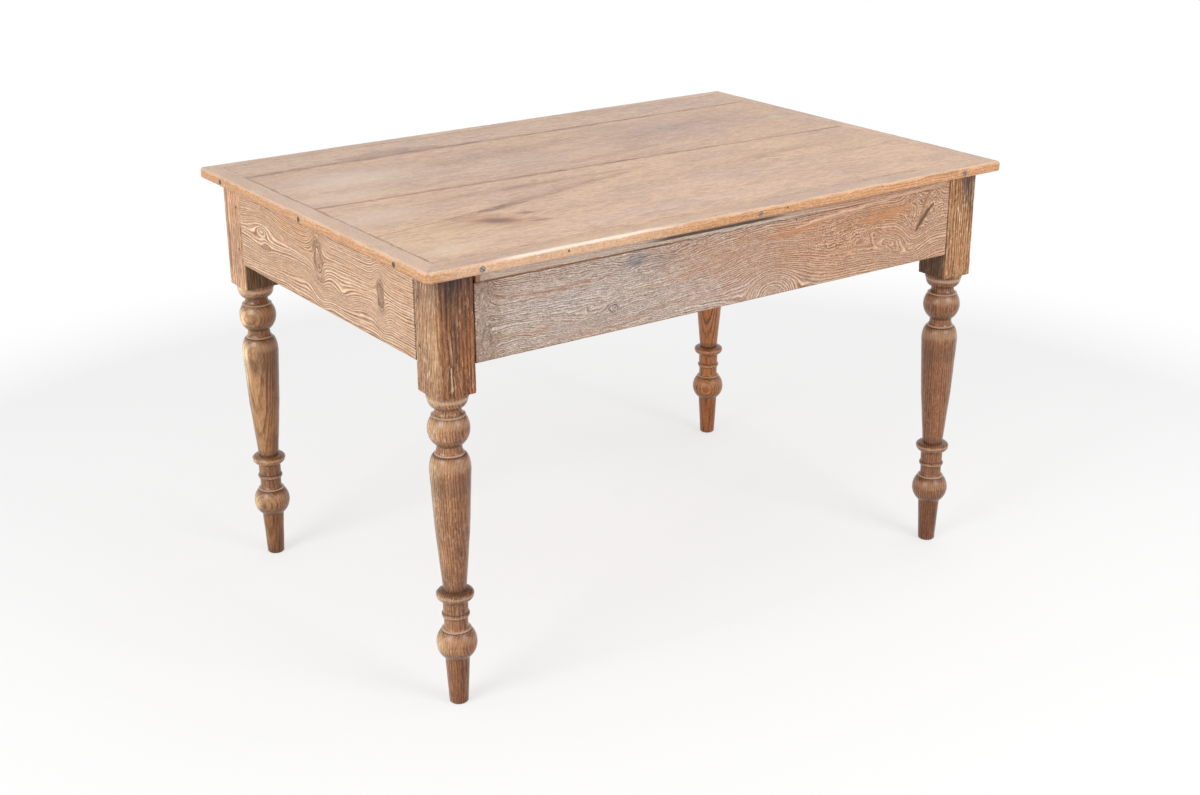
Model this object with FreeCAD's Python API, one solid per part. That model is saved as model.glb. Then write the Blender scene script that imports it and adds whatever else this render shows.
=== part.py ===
import FreeCAD, Part
import math
import os

os.makedirs("parts", exist_ok=True)

# Millimetres. X runs along the table, the front faces -Y and Z points up.
# The origin lies on the floor under the middle of the table.

# The table as a whole
table_length = 1220.0
table_width = 840.0
table_height = 775.0
edge_overhang = 30.0          # top beyond the outer faces of the legs
overrun = 5.0                 # extra length of every cutting body
match_tolerance = 0.001       # for finding an edge by its height

# Top: three long boards held in a mitred border
top_thickness = 20.0
border_end_width = 35.0
border_front_width = 40.0
border_back_width = 30.0
back_board_width = 100.0
middle_board_left_width = 275.0   # the middle board widens to the right,
middle_board_right_width = 311.0  # and the front board takes what is left
corner_round = 7.0            # plan radius of the four corners
edge_round_top = 6.0
edge_round_bottom = 4.0
tongue_thickness = 6.0
tongue_length = 7.0
tongue_tip_gap = 0.5

# Legs: square block above, turned below
leg_square = 70.0
block_length = 200.0
block_round = 4.0             # wear along the upright arrises
foot_floor_radius = 16.3
foot_top_radius = 20.8
foot_end_ease = 2.5
foot_length = 86.5
lower_ball_radius = 34.4
lower_ball_seat_radius = 21.8    # flat ledge where the foot enters the ball
lower_ball_neck_radius = 24.2    # where the ball meets the fillet above it
lower_fillet_radius = 25.2
lower_cove_height = 8.5
lower_neck_radius = 20.2
lower_neck_length = 12.7
bead_radius = 23.6
bead_half_height = 4.3
upper_neck_radius = 21.2
upper_neck_length = 22.3
ring_radius = 31.8
ring_lower_height = 11.0
ring_upper_height = 7.5
taper_foot_radius = 19.4
taper_top_radius = 34.2
taper_belly = 1.9             # swell at the middle of the long taper
urn_shoulder_height = 28.0
urn_shoulder_radius = 24.2
collar_band_radius = 34.6
collar_band_height = 6.5
collar_step = 1.2
collar_ovolo_height = 18.0
collar_seat_radius = 22.2
upper_cove_neck_radius = 21.0
upper_cove_height = 13.0
fillet_height = 1.5
upper_fillet_radius = 28.0
upper_ball_radius = 34.9
upper_ball_neck_radius = 27.0
middle_neck_radius = 20.8
middle_cove_height = 13.5
middle_fillet_radius = 25.2

# Aprons and their joints
apron_thickness = 22.0
apron_height = 152.0
apron_setback = 1.0           # aprons stand this far behind the leg faces
front_lath_height = 21.0      # strip between the front apron and the top
front_lath_end_gap = 3.0
tenon_thickness = 10.0
tenon_cheek = 5.0             # outer shoulder of the tenon
tenon_length = 45.0
tenon_bottom_shoulder = 10.0
tenon_top_shoulder = 25.0
front_tenon_top_shoulder = 10.0
haunch_length = 12.0
mortise_end_gap = 1.0
peg_diameter = 8.0
peg_length = 40.0
peg_from_shoulder = 16.0
peg_from_tenon_end = 19.0
peg_clearance = 0.1

# Inside the frame, under the top
batten_width = 60.0
batten_thickness = 22.0
batten_chamfer = 4.0
batten_end_gap = 6.0          # to the inner faces of the long aprons
glue_block_section = 24.0
glue_block_length = 70.0
glue_block_chamfer = 9.0

# Slotted countersunk screws
screw_head_radius = 4.3
screw_head_depth = 3.2
screw_shank_radius = 2.2
screw_slot_width = 1.1
screw_slot_depth = 1.2
screw_clearance = 0.12
edge_screw_length = 62.0
batten_screw_length = 35.0
batten_screw_side = 15.0      # from the middle line of a batten

# Places given as shares of the half length or half width of the top
front_screw_shares = (-0.84, 0.07, 0.84)
end_screw_shares = (-0.76, 0.02, 0.78)
# Places given as shares of the clear length between two legs, from its middle
long_block_shares = (-0.40, -0.14, 0.14, 0.40)
end_block_shares = (-0.26, 0.26)
batten_share = 0.29
# Places given as shares of the width of a top board, from its middle
narrow_board_screw_shares = (0.0,)
wide_board_screw_shares = (-0.3, 0.3)

# Values that follow from the ones above
half_length = table_length / 2
half_width = table_width / 2
underside = table_height - top_thickness
leg_half = leg_square / 2
leg_x = half_length - edge_overhang - leg_half
leg_y = half_width - edge_overhang - leg_half
leg_inner_x = leg_x - leg_half
leg_inner_y = leg_y - leg_half
shoulder = underside - block_length
apron_bottom = underside - apron_height
field_x = half_length - border_end_width
field_front = -half_width + border_front_width
field_back = half_width - border_back_width
middle_height = underside + top_thickness / 2
tongue_heights = (middle_height - tongue_thickness / 2, middle_height + tongue_thickness / 2)
batten_x = batten_share * 2 * leg_inner_x

# Joint lines of the top boards, as their places across the table at the field's left and right ends
front_line = (field_front, field_front)
back_line = (field_back, field_back)
back_joint = (field_back - back_board_width, field_back - back_board_width)
front_joint = (back_joint[0] - middle_board_left_width, back_joint[1] - middle_board_right_width)
apron_inner_y = leg_y + leg_half - apron_setback - apron_thickness
front_apron_top = underside - front_lath_height
edge_flat_bottom = underside + edge_round_bottom
edge_flat_top = table_height - edge_round_top
edge_screw_height = (edge_flat_bottom + edge_flat_top) / 2

UP = FreeCAD.Vector(0, 0, 1)
ORIGIN = FreeCAD.Vector(0, 0, 0)


def save(name, shape):
    shape.exportStep("parts/" + name + ".step")


def block(x, y, z):
    """Box between two corners, each axis given as a (low, high) pair."""
    corner = FreeCAD.Vector(x[0], y[0], z[0])
    return Part.makeBox(x[1] - x[0], y[1] - y[0], z[1] - z[0], corner)


def upright_edges(shape, height):
    """Straight upright edges of the given height."""
    return [e for e in shape.Edges
            if abs(e.BoundBox.ZLength - height) < match_tolerance
            and abs(e.Length - height) < match_tolerance]


def level_edges(shape, height):
    """Edges that lie wholly at one height."""
    return [e for e in shape.Edges
            if abs(e.BoundBox.ZMax - height) < match_tolerance
            and abs(e.BoundBox.ZMin - height) < match_tolerance]


def line(a, b):
    """Straight stretch of a half section, between two points given as (radius, height)."""
    return Part.LineSegment(FreeCAD.Vector(a[0], 0, a[1]), FreeCAD.Vector(b[0], 0, b[1])).toShape()


def arc(a, middle, b):
    points = [FreeCAD.Vector(p[0], 0, p[1]) for p in (a, middle, b)]
    return Part.Arc(*points).toShape()


def quarter(upright_end, level_end):
    """Quarter ellipse that leaves one end upright and reaches the other level."""
    a = FreeCAD.Vector(upright_end[0], 0, upright_end[1])
    b = FreeCAD.Vector(level_end[0], 0, level_end[1])
    centre = FreeCAD.Vector(level_end[0], 0, upright_end[1])
    if a.distanceToPoint(centre) < b.distanceToPoint(centre):
        a, b = b, a
    return Part.ArcOfEllipse(Part.Ellipse(a, b, centre), 0, math.pi / 2).toShape()


def chord_height(radius, half_width_there):
    """Distance from a ball's centre to the level where its radius has shrunk to the given one."""
    return math.sqrt(radius ** 2 - half_width_there ** 2)


def turned_outline():
    """Edges of the turned part's half section, from the floor up to the block."""
    edges = []
    at = (0.0, 0.0)

    def straight(radius, height):
        nonlocal at
        edges.append(line(at, (radius, height)))
        at = (radius, height)

    def curve(radius, height, upright_first):
        nonlocal at
        there = (radius, height)
        edges.append(quarter(at, there) if upright_first else quarter(there, at))
        at = there

    def ball(radius, centre, top_radius):
        nonlocal at
        there = (top_radius, centre + chord_height(radius, top_radius))
        edges.append(arc(at, (radius, centre), there))
        at = there

    # foot, eased where it meets the floor
    straight(foot_floor_radius - foot_end_ease, 0.0)
    straight(foot_floor_radius, foot_end_ease)
    straight(foot_top_radius, foot_length)
    # lower ball with the fillet and cove above it
    straight(lower_ball_seat_radius, foot_length)
    centre = foot_length + chord_height(lower_ball_radius, lower_ball_seat_radius)
    ball(lower_ball_radius, centre, lower_ball_neck_radius)
    straight(lower_fillet_radius, at[1])
    straight(lower_fillet_radius, at[1] + fillet_height)
    curve(lower_neck_radius, at[1] + lower_cove_height, False)
    straight(lower_neck_radius, at[1] + lower_neck_length)
    # bead
    curve(bead_radius, at[1] + bead_half_height, False)
    curve(upper_neck_radius, at[1] + bead_half_height, True)
    straight(upper_neck_radius, at[1] + upper_neck_length)
    # ring under the long taper
    curve(ring_radius, at[1] + ring_lower_height, False)
    curve(taper_foot_radius, at[1] + ring_upper_height, True)

    # heights above the taper are counted down from the block
    band_low = shoulder - collar_band_height
    ovolo_low = band_low - collar_ovolo_height
    cove_low = ovolo_low - upper_cove_height
    ball_top = cove_low - fillet_height
    ball_centre = ball_top - chord_height(upper_ball_radius, upper_ball_neck_radius)
    ball_low = ball_centre - chord_height(upper_ball_radius, middle_neck_radius)
    middle_cove_low = ball_low - middle_cove_height
    urn_top = middle_cove_low - fillet_height
    taper_top = urn_top - urn_shoulder_height
    # long taper with a slight swell, then the urn's shoulder
    straight((taper_foot_radius + taper_top_radius) / 2 + taper_belly, (at[1] + taper_top) / 2)
    straight(taper_top_radius, taper_top)
    curve(urn_shoulder_radius, urn_top, True)
    straight(middle_fillet_radius, urn_top)
    straight(middle_fillet_radius, middle_cove_low)
    curve(middle_neck_radius, ball_low, False)
    # upper ball and the collar under the block
    ball(upper_ball_radius, ball_centre, upper_ball_neck_radius)
    straight(upper_fillet_radius, at[1])
    straight(upper_fillet_radius, cove_low)
    curve(upper_cove_neck_radius, ovolo_low, False)
    straight(collar_seat_radius, ovolo_low)
    curve(collar_band_radius - collar_step, band_low, False)
    straight(collar_band_radius, band_low)
    straight(collar_band_radius, shoulder + overrun)
    straight(0.0, at[1])
    straight(0.0, 0.0)
    return edges


def turned_leg():
    """Leg about the Z axis, its floor end at height zero."""
    outline = Part.Wire(Part.__sortEdges__(turned_outline()))
    turning = Part.Face(outline).revolve(ORIGIN, UP, 360)
    side = (-leg_half, leg_half)
    square = block(side, side, (shoulder, underside))
    square = square.makeFillet(block_round, upright_edges(square, block_length))
    return square.fuse(turning).removeSplitter()


def apron_sides():
    """One entry per apron: name, long axis, outward sign, top height, upper tenon shoulder."""
    return (
        ("apron_front", "x", -1, front_apron_top, front_tenon_top_shoulder),
        ("apron_back", "x", 1, underside, tenon_top_shoulder),
        ("apron_left_end", "y", -1, underside, tenon_top_shoulder),
        ("apron_right_end", "y", 1, underside, tenon_top_shoulder),
    )


def place(axis, sign, along, across, heights):
    """Box of an apron side: along its length, and across as depths behind the leg faces."""
    outer = leg_x + leg_half if axis == "y" else leg_y + leg_half
    depth = sorted(sign * (outer - d) for d in across)
    if axis == "x":
        return block(along, depth, heights)
    return block(depth, along, heights)


def tenon_shape(axis, sign, end, top, top_shoulder, gap):
    """Tenon, and haunch where the shoulder above it is deep; the gap lengthens it for its mortise."""
    inner = leg_inner_x if axis == "x" else leg_inner_y
    across = (apron_setback + tenon_cheek, apron_setback + tenon_cheek + tenon_thickness)

    def reach(length):
        return sorted((end * inner, end * (inner + length)))

    tenon_top = top - top_shoulder
    heights = (apron_bottom + tenon_bottom_shoulder, tenon_top)
    shape = place(axis, sign, reach(tenon_length + gap), across, heights)
    if top == underside:
        shape = shape.fuse(place(axis, sign, reach(haunch_length), across, (tenon_top, top)))
    return shape


def peg_body(axis, sign, end, height, extra):
    """Peg through one tenon, driven in from the leg's outer face."""
    inner = leg_inner_x if axis == "x" else leg_inner_y
    outer = leg_y + leg_half if axis == "x" else leg_x + leg_half
    along = end * (inner + peg_from_shoulder)
    radius = peg_diameter / 2 + extra
    start = (along, sign * outer) if axis == "x" else (sign * outer, along)
    inward = FreeCAD.Vector(0, -sign, 0) if axis == "x" else FreeCAD.Vector(-sign, 0, 0)
    return Part.makeCylinder(radius, peg_length, FreeCAD.Vector(start[0], start[1], height), inward)


def peg_heights(top, top_shoulder):
    low = apron_bottom + tenon_bottom_shoulder
    return (low + peg_from_tenon_end, top - top_shoulder - peg_from_tenon_end)


def screw_shape(length, extra):
    """Blunt countersunk screw along Z, its head's face at height zero and its end down."""
    head = screw_head_radius + extra
    shank = screw_shank_radius + extra
    outline = [(0.0, 0.0), (head, 0.0), (shank, -screw_head_depth), (shank, -length), (0.0, -length)]
    points = [FreeCAD.Vector(r, 0, z) for r, z in outline]
    return Part.Face(Part.makePolygon(points + points[:1])).revolve(ORIGIN, UP, 360)


def screw_at(point, outward, length, turn=0):
    """Screw with its slot turned by the given angle, and the body that cuts its hole."""
    slot_half = (-screw_slot_width / 2, screw_slot_width / 2)
    reach = (-screw_head_radius - overrun, screw_head_radius + overrun)
    slot = block(reach, slot_half, (-screw_slot_depth, overrun))
    screw = screw_shape(length, 0.0).cut(slot)
    hole = screw_shape(length, screw_clearance)
    facing = FreeCAD.Rotation(UP, FreeCAD.Vector(*outward))
    screw.Placement = FreeCAD.Placement(FreeCAD.Vector(*point), facing * FreeCAD.Rotation(UP, turn))
    hole.Placement = FreeCAD.Placement(FreeCAD.Vector(*point), facing)
    return screw, hole


def edge_screws():
    """Screws that hold the border, from the outer edge into the boards."""
    turn_step = 37
    made = []
    for share in front_screw_shares:
        for side in (-1, 1):
            point = (share * half_length, side * half_width, edge_screw_height)
            made.append(screw_at(point, (0, side, 0), edge_screw_length, turn_step * len(made)))
    for share in end_screw_shares:
        for side in (-1, 1):
            point = (side * half_length, share * half_width, edge_screw_height)
            made.append(screw_at(point, (side, 0, 0), edge_screw_length, turn_step * len(made)))
    return made


def board_rows():
    """Top boards from the back: name, front and back joint lines, shares for its batten screws."""
    return (
        ("top_board_back", back_joint, back_line, narrow_board_screw_shares),
        ("top_board_middle", front_joint, back_joint, wide_board_screw_shares),
        ("top_board_front", front_line, front_joint, wide_board_screw_shares),
    )


def batten_screws():
    """Screws up through the battens into the boards, set on alternate sides of the middle line."""
    turn_step = 53
    made = []
    low = underside - batten_thickness
    for end in (-1, 1):
        for name, front, back, shares in board_rows():
            for share in shares:
                x = end * batten_x + batten_screw_side * (-1) ** len(made)
                front_y, back_y = across_at(front, x), across_at(back, x)
                y = (front_y + back_y) / 2 + share * (back_y - front_y)
                point = (x, y, low)
                made.append(screw_at(point, (0, 0, -1), batten_screw_length, turn_step * len(made)))
    return made


def across_at(joint, x):
    """Place across the table of a joint line, at a place along it."""
    left, right = joint
    return left + (right - left) * (x + field_x) / (2 * field_x)


def shifted(joint, step):
    return (joint[0] + step, joint[1] + step)


def between(front, back, reach, heights):
    """Upright prism between two joint lines, as far along the table as the reach both ways."""
    corners = [(-reach, front), (reach, front), (reach, back), (-reach, back)]
    points = [FreeCAD.Vector(x, across_at(joint, x), heights[0]) for x, joint in corners]
    face = Part.Face(Part.makePolygon(points + points[:1]))
    return face.extrude(FreeCAD.Vector(0, 0, heights[1] - heights[0]))


def top_frame():
    """Border all round the boards, still in one piece, with its rounded edge and inner groove."""
    slab = block((-half_length, half_length), (-half_width, half_width), (underside, table_height))
    slab = slab.makeFillet(corner_round, upright_edges(slab, top_thickness))
    slab = slab.makeFillet(edge_round_top, level_edges(slab, table_height))
    slab = slab.makeFillet(edge_round_bottom, level_edges(slab, underside))
    field = between(front_line, back_line, field_x, (underside - overrun, table_height + overrun))
    groove = tongue_length + tongue_tip_gap
    ring = between(shifted(front_line, -groove), shifted(back_line, groove), field_x + groove, tongue_heights)
    return slab.cut(field).cut(ring)


def border_pieces(frame):
    """The border cut at its mitres, each from an outer corner to the corner of the boards."""
    corners = []
    for x, y in ((-1, -1), (1, -1), (1, 1), (-1, 1)):
        outer = FreeCAD.Vector(x * half_length, y * half_width, underside - overrun)
        inner_y = field_front if y < 0 else field_back
        inner = FreeCAD.Vector(x * field_x, inner_y, underside - overrun)
        corners.append((outer + (outer - inner), inner))
    names = ("border_front", "border_right_end", "border_back", "border_left_end")
    depth = FreeCAD.Vector(0, 0, top_thickness + overrun + overrun)
    pieces = {}
    for i, name in enumerate(names):
        a, b = corners[i], corners[(i + 1) % 4]
        face = Part.Face(Part.makePolygon([a[0], b[0], b[1], a[1], a[0]]))
        pieces[name] = frame.common(face.extrude(depth))
    return pieces


def top_board(front, back):
    """Board with tongues at both ends and along its front, and a tongue or groove along its back."""
    last = back == back_line
    body = between(front, back, field_x, (underside, table_height))
    tongue_back = shifted(back, tongue_length) if last else back
    tongue_front = shifted(front, -tongue_length)
    board = body.fuse(between(tongue_front, tongue_back, field_x + tongue_length, tongue_heights))
    if not last:
        groove_front = shifted(back, -tongue_length - tongue_tip_gap)
        board = board.cut(between(groove_front, shifted(back, overrun), half_length, tongue_heights))
    return board.removeSplitter()


def batten(end):
    """Cross batten with its lower long edges chamfered, short of the long aprons at both ends."""
    reach = apron_inner_y - batten_end_gap
    middle = end * batten_x
    half = batten_width / 2
    low = underside - batten_thickness
    shape = block((middle - half, middle + half), (-reach, reach), (low, underside))
    edges = [e for e in level_edges(shape, low) if e.BoundBox.YLength > reach]
    return shape.makeChamfer(batten_chamfer, edges)


def glue_block_row(axis, sign, shares, clear_length):
    """Blocks rubbed into the angle between one apron and the top."""
    inner = apron_setback + apron_thickness
    blocks = []
    for share in shares:
        middle = share * clear_length
        along = (middle - glue_block_length / 2, middle + glue_block_length / 2)
        across = (inner, inner + glue_block_section)
        heights = (underside - glue_block_section, underside)
        shape = place(axis, sign, along, across, heights)
        box = shape.BoundBox
        free_side = sign * ((leg_y if axis == "x" else leg_x) + leg_half - across[1])
        chamfered = []
        for edge in level_edges(shape, box.ZMin):
            centre = edge.CenterOfMass
            if abs((centre.y if axis == "x" else centre.x) - free_side) < glue_block_chamfer / 2:
                chamfered.append(edge)
        blocks.append(shape.makeChamfer(glue_block_chamfer, chamfered))
    return Part.makeCompound(blocks)


leg_names = {(-1, -1): "leg_front_left", (1, -1): "leg_front_right",
             (-1, 1): "leg_back_left", (1, 1): "leg_back_right"}
leg_shape = turned_leg()
legs = {}
for x_side, y_side in leg_names:
    corner = FreeCAD.Vector(x_side * leg_x, y_side * leg_y, 0)
    legs[(x_side, y_side)] = leg_shape.translated(corner)

pegs = []
for name, axis, sign, top, top_shoulder in apron_sides():
    inner = leg_inner_x if axis == "x" else leg_inner_y
    across = (apron_setback, apron_setback + apron_thickness)
    apron = place(axis, sign, (-inner, inner), across, (apron_bottom, top))
    for end in (-1, 1):
        key = (end, sign) if axis == "x" else (sign, end)
        apron = apron.fuse(tenon_shape(axis, sign, end, top, top_shoulder, 0.0))
        legs[key] = legs[key].cut(tenon_shape(axis, sign, end, top, top_shoulder, mortise_end_gap))
        for height in peg_heights(top, top_shoulder):
            peg = peg_body(axis, sign, end, height, 0.0)
            hole = peg_body(axis, sign, end, height, peg_clearance)
            legs[key] = legs[key].cut(hole)
            apron = apron.cut(hole)
            pegs.append(peg)
    save(name, apron.removeSplitter())
for key, name in leg_names.items():
    save(name, legs[key])
save("tenon_pegs", Part.makeCompound(pegs))

lath_across = (apron_setback, apron_setback + apron_thickness)
lath_along = (-leg_inner_x + front_lath_end_gap, leg_inner_x)
save("front_lath", place("x", -1, lath_along, lath_across, (front_apron_top, underside)))

edge_made = edge_screws()
batten_made = batten_screws()
edge_holes = Part.makeCompound([hole for screw, hole in edge_made])
batten_holes = Part.makeCompound([hole for screw, hole in batten_made])
save("edge_screws", Part.makeCompound([screw for screw, hole in edge_made]))
save("batten_screws", Part.makeCompound([screw for screw, hole in batten_made]))

for name, piece in border_pieces(top_frame()).items():
    save(name, piece.cut(edge_holes))
for name, front, back, shares in board_rows():
    save(name, top_board(front, back).cut(edge_holes).cut(batten_holes))
for end, name in ((-1, "cross_batten_left"), (1, "cross_batten_right")):
    save(name, batten(end).cut(batten_holes))

save("glue_blocks_front", glue_block_row("x", -1, long_block_shares, 2 * leg_inner_x))
save("glue_blocks_back", glue_block_row("x", 1, long_block_shares, 2 * leg_inner_x))
save("glue_blocks_left_end", glue_block_row("y", -1, end_block_shares, 2 * leg_inner_y))
save("glue_blocks_right_end", glue_block_row("y", 1, end_block_shares, 2 * leg_inner_y))
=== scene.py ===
import math
import random
from types import SimpleNamespace

import bmesh
import bpy
from mathutils import Matrix, Vector, noise


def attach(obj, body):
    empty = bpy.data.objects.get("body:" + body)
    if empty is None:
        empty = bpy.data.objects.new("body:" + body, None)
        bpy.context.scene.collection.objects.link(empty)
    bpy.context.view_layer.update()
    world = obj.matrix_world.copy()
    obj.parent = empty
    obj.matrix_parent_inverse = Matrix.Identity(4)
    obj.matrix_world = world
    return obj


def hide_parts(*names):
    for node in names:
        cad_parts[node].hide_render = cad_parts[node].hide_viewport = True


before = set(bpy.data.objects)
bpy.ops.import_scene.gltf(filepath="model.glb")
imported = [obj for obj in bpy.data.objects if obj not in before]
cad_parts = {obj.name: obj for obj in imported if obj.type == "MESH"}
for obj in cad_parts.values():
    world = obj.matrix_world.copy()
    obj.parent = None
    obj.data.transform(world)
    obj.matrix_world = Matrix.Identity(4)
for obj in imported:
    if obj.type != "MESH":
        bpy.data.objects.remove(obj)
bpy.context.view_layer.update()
print("frame:", len(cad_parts), "nodes")

mm = 0.001


def inScene(name, data):
    made = bpy.data.objects.new(name, data)
    bpy.context.scene.collection.objects.link(made)
    return made


# Node trees, for materials and for Geometry Nodes

class Value:
    # a socket that can be added, multiplied and so on: each sum adds its Math node
    def __init__(self, tree, socket):
        self.tree = tree
        self.socket = socket

    def math(self, operation, *others):
        return self.tree.add("ShaderNodeMath", {"operation": operation}, [self, *others])

    def __add__(self, other):
        return self.math("ADD", other)

    def __sub__(self, other):
        return self.math("SUBTRACT", other)

    def __rsub__(self, other):
        return self.tree.add("ShaderNodeMath", {"operation": "SUBTRACT"}, [other, self])

    def __mul__(self, other):
        return self.math("MULTIPLY", other)

    __radd__ = __add__
    __rmul__ = __mul__

    def __truediv__(self, other):
        return self.math("DIVIDE", other)

    def __pow__(self, other):
        return self.math("POWER", other)

    def __abs__(self):
        return self.math("ABSOLUTE")

    def __gt__(self, other):
        return self.math("GREATER_THAN", other)

    def root(self):
        return self.math("MAXIMUM", 0.0).math("SQRT")

    def most(self, other):
        return self.math("MAXIMUM", other)

    def limited(self):
        return self.tree.add("ShaderNodeClamp", None, [self, 0.0, 1.0])

    def moved(self, operation, other):
        return self.tree.add("ShaderNodeVectorMath", {"operation": operation}, [self, other])

    def size(self):
        return self.tree.add("ShaderNodeVectorMath", {"operation": "LENGTH"}, [self], output=1)

    def smooth(self, low, high):
        # 0 at low and 1 at high, or the other way round where low is the larger
        return self.tree.add("ShaderNodeMapRange", {"interpolation_type": "SMOOTHSTEP"},
                             [self, low, high, 0.0, 1.0])


class Tree:
    def __init__(self, nodeTree):
        self.nodeTree = nodeTree
        nodeTree.nodes.clear()

    def node(self, kind, settings=None, values=None):
        made = self.nodeTree.nodes.new(kind)
        for name, setting in (settings or {}).items():
            setattr(made, name, setting)
        listed = values.items() if isinstance(values, dict) else enumerate(values or ())
        for key, value in listed:
            self.feed(made.inputs[key], value)
        return made

    def add(self, kind, settings=None, values=None, output=0):
        return Value(self, self.node(kind, settings, values).outputs[output])

    def feed(self, socket, value):
        if isinstance(value, Value):
            self.nodeTree.links.new(value.socket, socket)
        elif socket.type == "RGBA" and len(value) == 3:
            socket.default_value = (*value, 1.0)
        else:
            socket.default_value = value

    def vector(self, x, y, z):
        return self.add("ShaderNodeCombineXYZ", None, [x, y, z])

    def parts(self, vector):
        split = self.node("ShaderNodeSeparateXYZ", None, [vector])
        return [Value(self, socket) for socket in split.outputs]

    def cloud(self, x, y, z, seed, detail=2.0, roughness=0.5):
        # smooth noise about 0.5, its blobs one unit across
        place = self.vector(x, y, z)
        return self.add("ShaderNodeTexNoise", {"noise_dimensions": "4D"},
                        {"Vector": place, "W": seed, "Scale": 1.0,
                         "Detail": detail, "Roughness": roughness})

    def mix(self, share, first, second, blend="MIX"):
        return self.add("ShaderNodeMix", {"data_type": "RGBA", "blend_type": blend},
                        {0: share, 6: first, 7: second}, output=2)


# Wood: one look for every board, with its own dictionary of grain, colours and marks

wood = {
    "axes": "xyz",               # along the grain, across it, and into the face
    "seed": 1.0,
    "heart": (0.35, -0.05),      # where the log's heart lies, across and into the face
    "ringWidth": 4.6 * mm,
    "wander": 9 * mm,            # how far the grain strays
    "wanderLength": 0.40,
    "wanderHeight": 0.12,
    "ripple": 1.2 * mm,          # small waves in it, and their length and height
    "rippleLength": 0.05,
    "rippleHeight": 0.03,
    "rippleDetail": 1.0,
    "curls": [],
    "eyes": [],
    "knots": [],
    "face": 0.0,                 # where the seen face lies along the last of the three axes
    "calm": None,                # places along it, in mm, between which the waves die down
    "calmWaves": 0.5,            # by this share,
    "calmBreaks": 0.6,           # the breaks in the lines of pores by this one,
    "widening": 0.0,             # and the years grow wider by this one,
    "fromHeart": 0.0,            # about this distance from the heart
    "broken": 1.0,               # how far the lines of pores are broken into dashes
    "uneven": 0.8,
    "early": (0.52, 0.35, 0.22),
    "late": (0.36, 0.22, 0.13),
    "lateShare": 0.6,
    "pore": (0.72, 0.60, 0.47),
    "poreShare": 0.5,
    "fleck": (0.74, 0.64, 0.54),
    "fleckShare": 0.25,
    "fibreShare": 0.35,
    "second": (0.50, 0.30, 0.20),
    "secondShare": 0.5,
    "dirt": (0.16, 0.10, 0.07),
    "dirtShare": 0.25,
    "knotColour": None,          # that of dirt, where a piece gives none
    "paleShare": 0.3,
    "poreDraw": 40.0,            # how drawn out pores and fibres are: less is longer
    "fibreDraw": 14.0,
    "poreFine": 600.0,           # and how fine across the grain: more is finer
    "fibreFine": 430.0,
    "blotchDraw": 3.0,
    "blotchFine": 11.0,
    "speckShare": 0.0,           # bright and dark grains of brushed or sanded wood,
    "edgeSpeckShare": 0.0,       # those on a top's rounded edge, which sets in between two heights,
    "edgeHeights": (773, 770),
    "burrSpecks": 1.3,           # and how many more a burr has
    "speckDraw": 170.0,
    "speckFine": 230.0,
    "paleSpeck": (0.80, 0.68, 0.56),
    "darkSpeck": (0.22, 0.14, 0.10),
    "endGrainShare": 0.0,
    "turnedBelow": -1.0,         # height under which the wood is turned
    "turnedGloss": 0.2,
    "turnedLess": 0.5,
    "turnedCoat": 0.0,
    "roughness": 0.58,
    "specular": 0.28,
    "relief": 0.35 * mm,
    "patches": [],
    "crack": [],                 # (along, across, half width) points, in mm
    "crackShare": 0.75,
    "crackStray": 1.5 * mm,
    "tints": [],
    "holes": [],                 # (x, y, z, radius) of dirt round a screw or in a nail hole
    "holeColour": (0.06, 0.04, 0.03),
    "rings": [],                 # (height, half width, share, colour) of dirt and wear on the turning, and of painted light and painted shade on it
}


# Marks on a face. Places are (along, across) in mm, and a share says how strong a mark is

def eye(at, size, lift, part=0.0):
    # the lines of the grain rise here, and close where they rise far
    return {"at": at, "size": size, "lift": lift, "part": part}


def knot(at, size, turn=0.0, dark=0.7, hollow=0.0, part=0.85, wobble=0.6, rings=4.0):
    # has its own rings, and the lines of the grain part round it
    return {"at": at, "size": size, "turn": turn, "dark": dark, "hollow": hollow,
            "part": part, "wobble": wobble, "rings": rings}


def curl(at, size, more):
    # the small waves are higher here, as round a burr
    return {"at": at, "size": size, "more": more}


def spot(share, colour, at, size, turn=0.0, ragged=0.8, streaky=0.6, blend="MIX"):
    return {"share": share, "colour": colour, "at": at, "size": size, "turn": turn,
            "ragged": ragged, "streaky": streaky, "blend": blend}


def streak(share, colour, *line, ragged=0.8, streaky=0.6, blend="MIX"):
    # lies along a line of (along, across, half width) points
    return {"share": share, "colour": colour, "line": line,
            "ragged": ragged, "streaky": streaky, "blend": blend}


def stained(share, colour, *line, streaky=0.35, **more):
    # a streak that darkens the wood by its colour
    return streak(share, colour, *line, streaky=streaky, blend="MULTIPLY", **more)


def toned(share, colour, at, size, streaky=0.2, **more):
    # a spot of another tone, with the figure of the wood kept
    return spot(share, colour, at, size, streaky=streaky, blend="COLOR", **more)


def tint(share, colour, *where, ragged=1.5, streaky=0.0, years=0.0, blend="MIX"):
    # another tone over part of a piece: none at the first place on an axis, and full at the second
    return {"share": share, "colour": colour, "where": where,
            "ragged": ragged, "streaky": streaky, "years": years, "blend": blend}


def shaded(share, colour, *where, **more):
    # a tint that multiplies the colour under it
    return tint(share, colour, *where, blend="MULTIPLY", **more)


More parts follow.
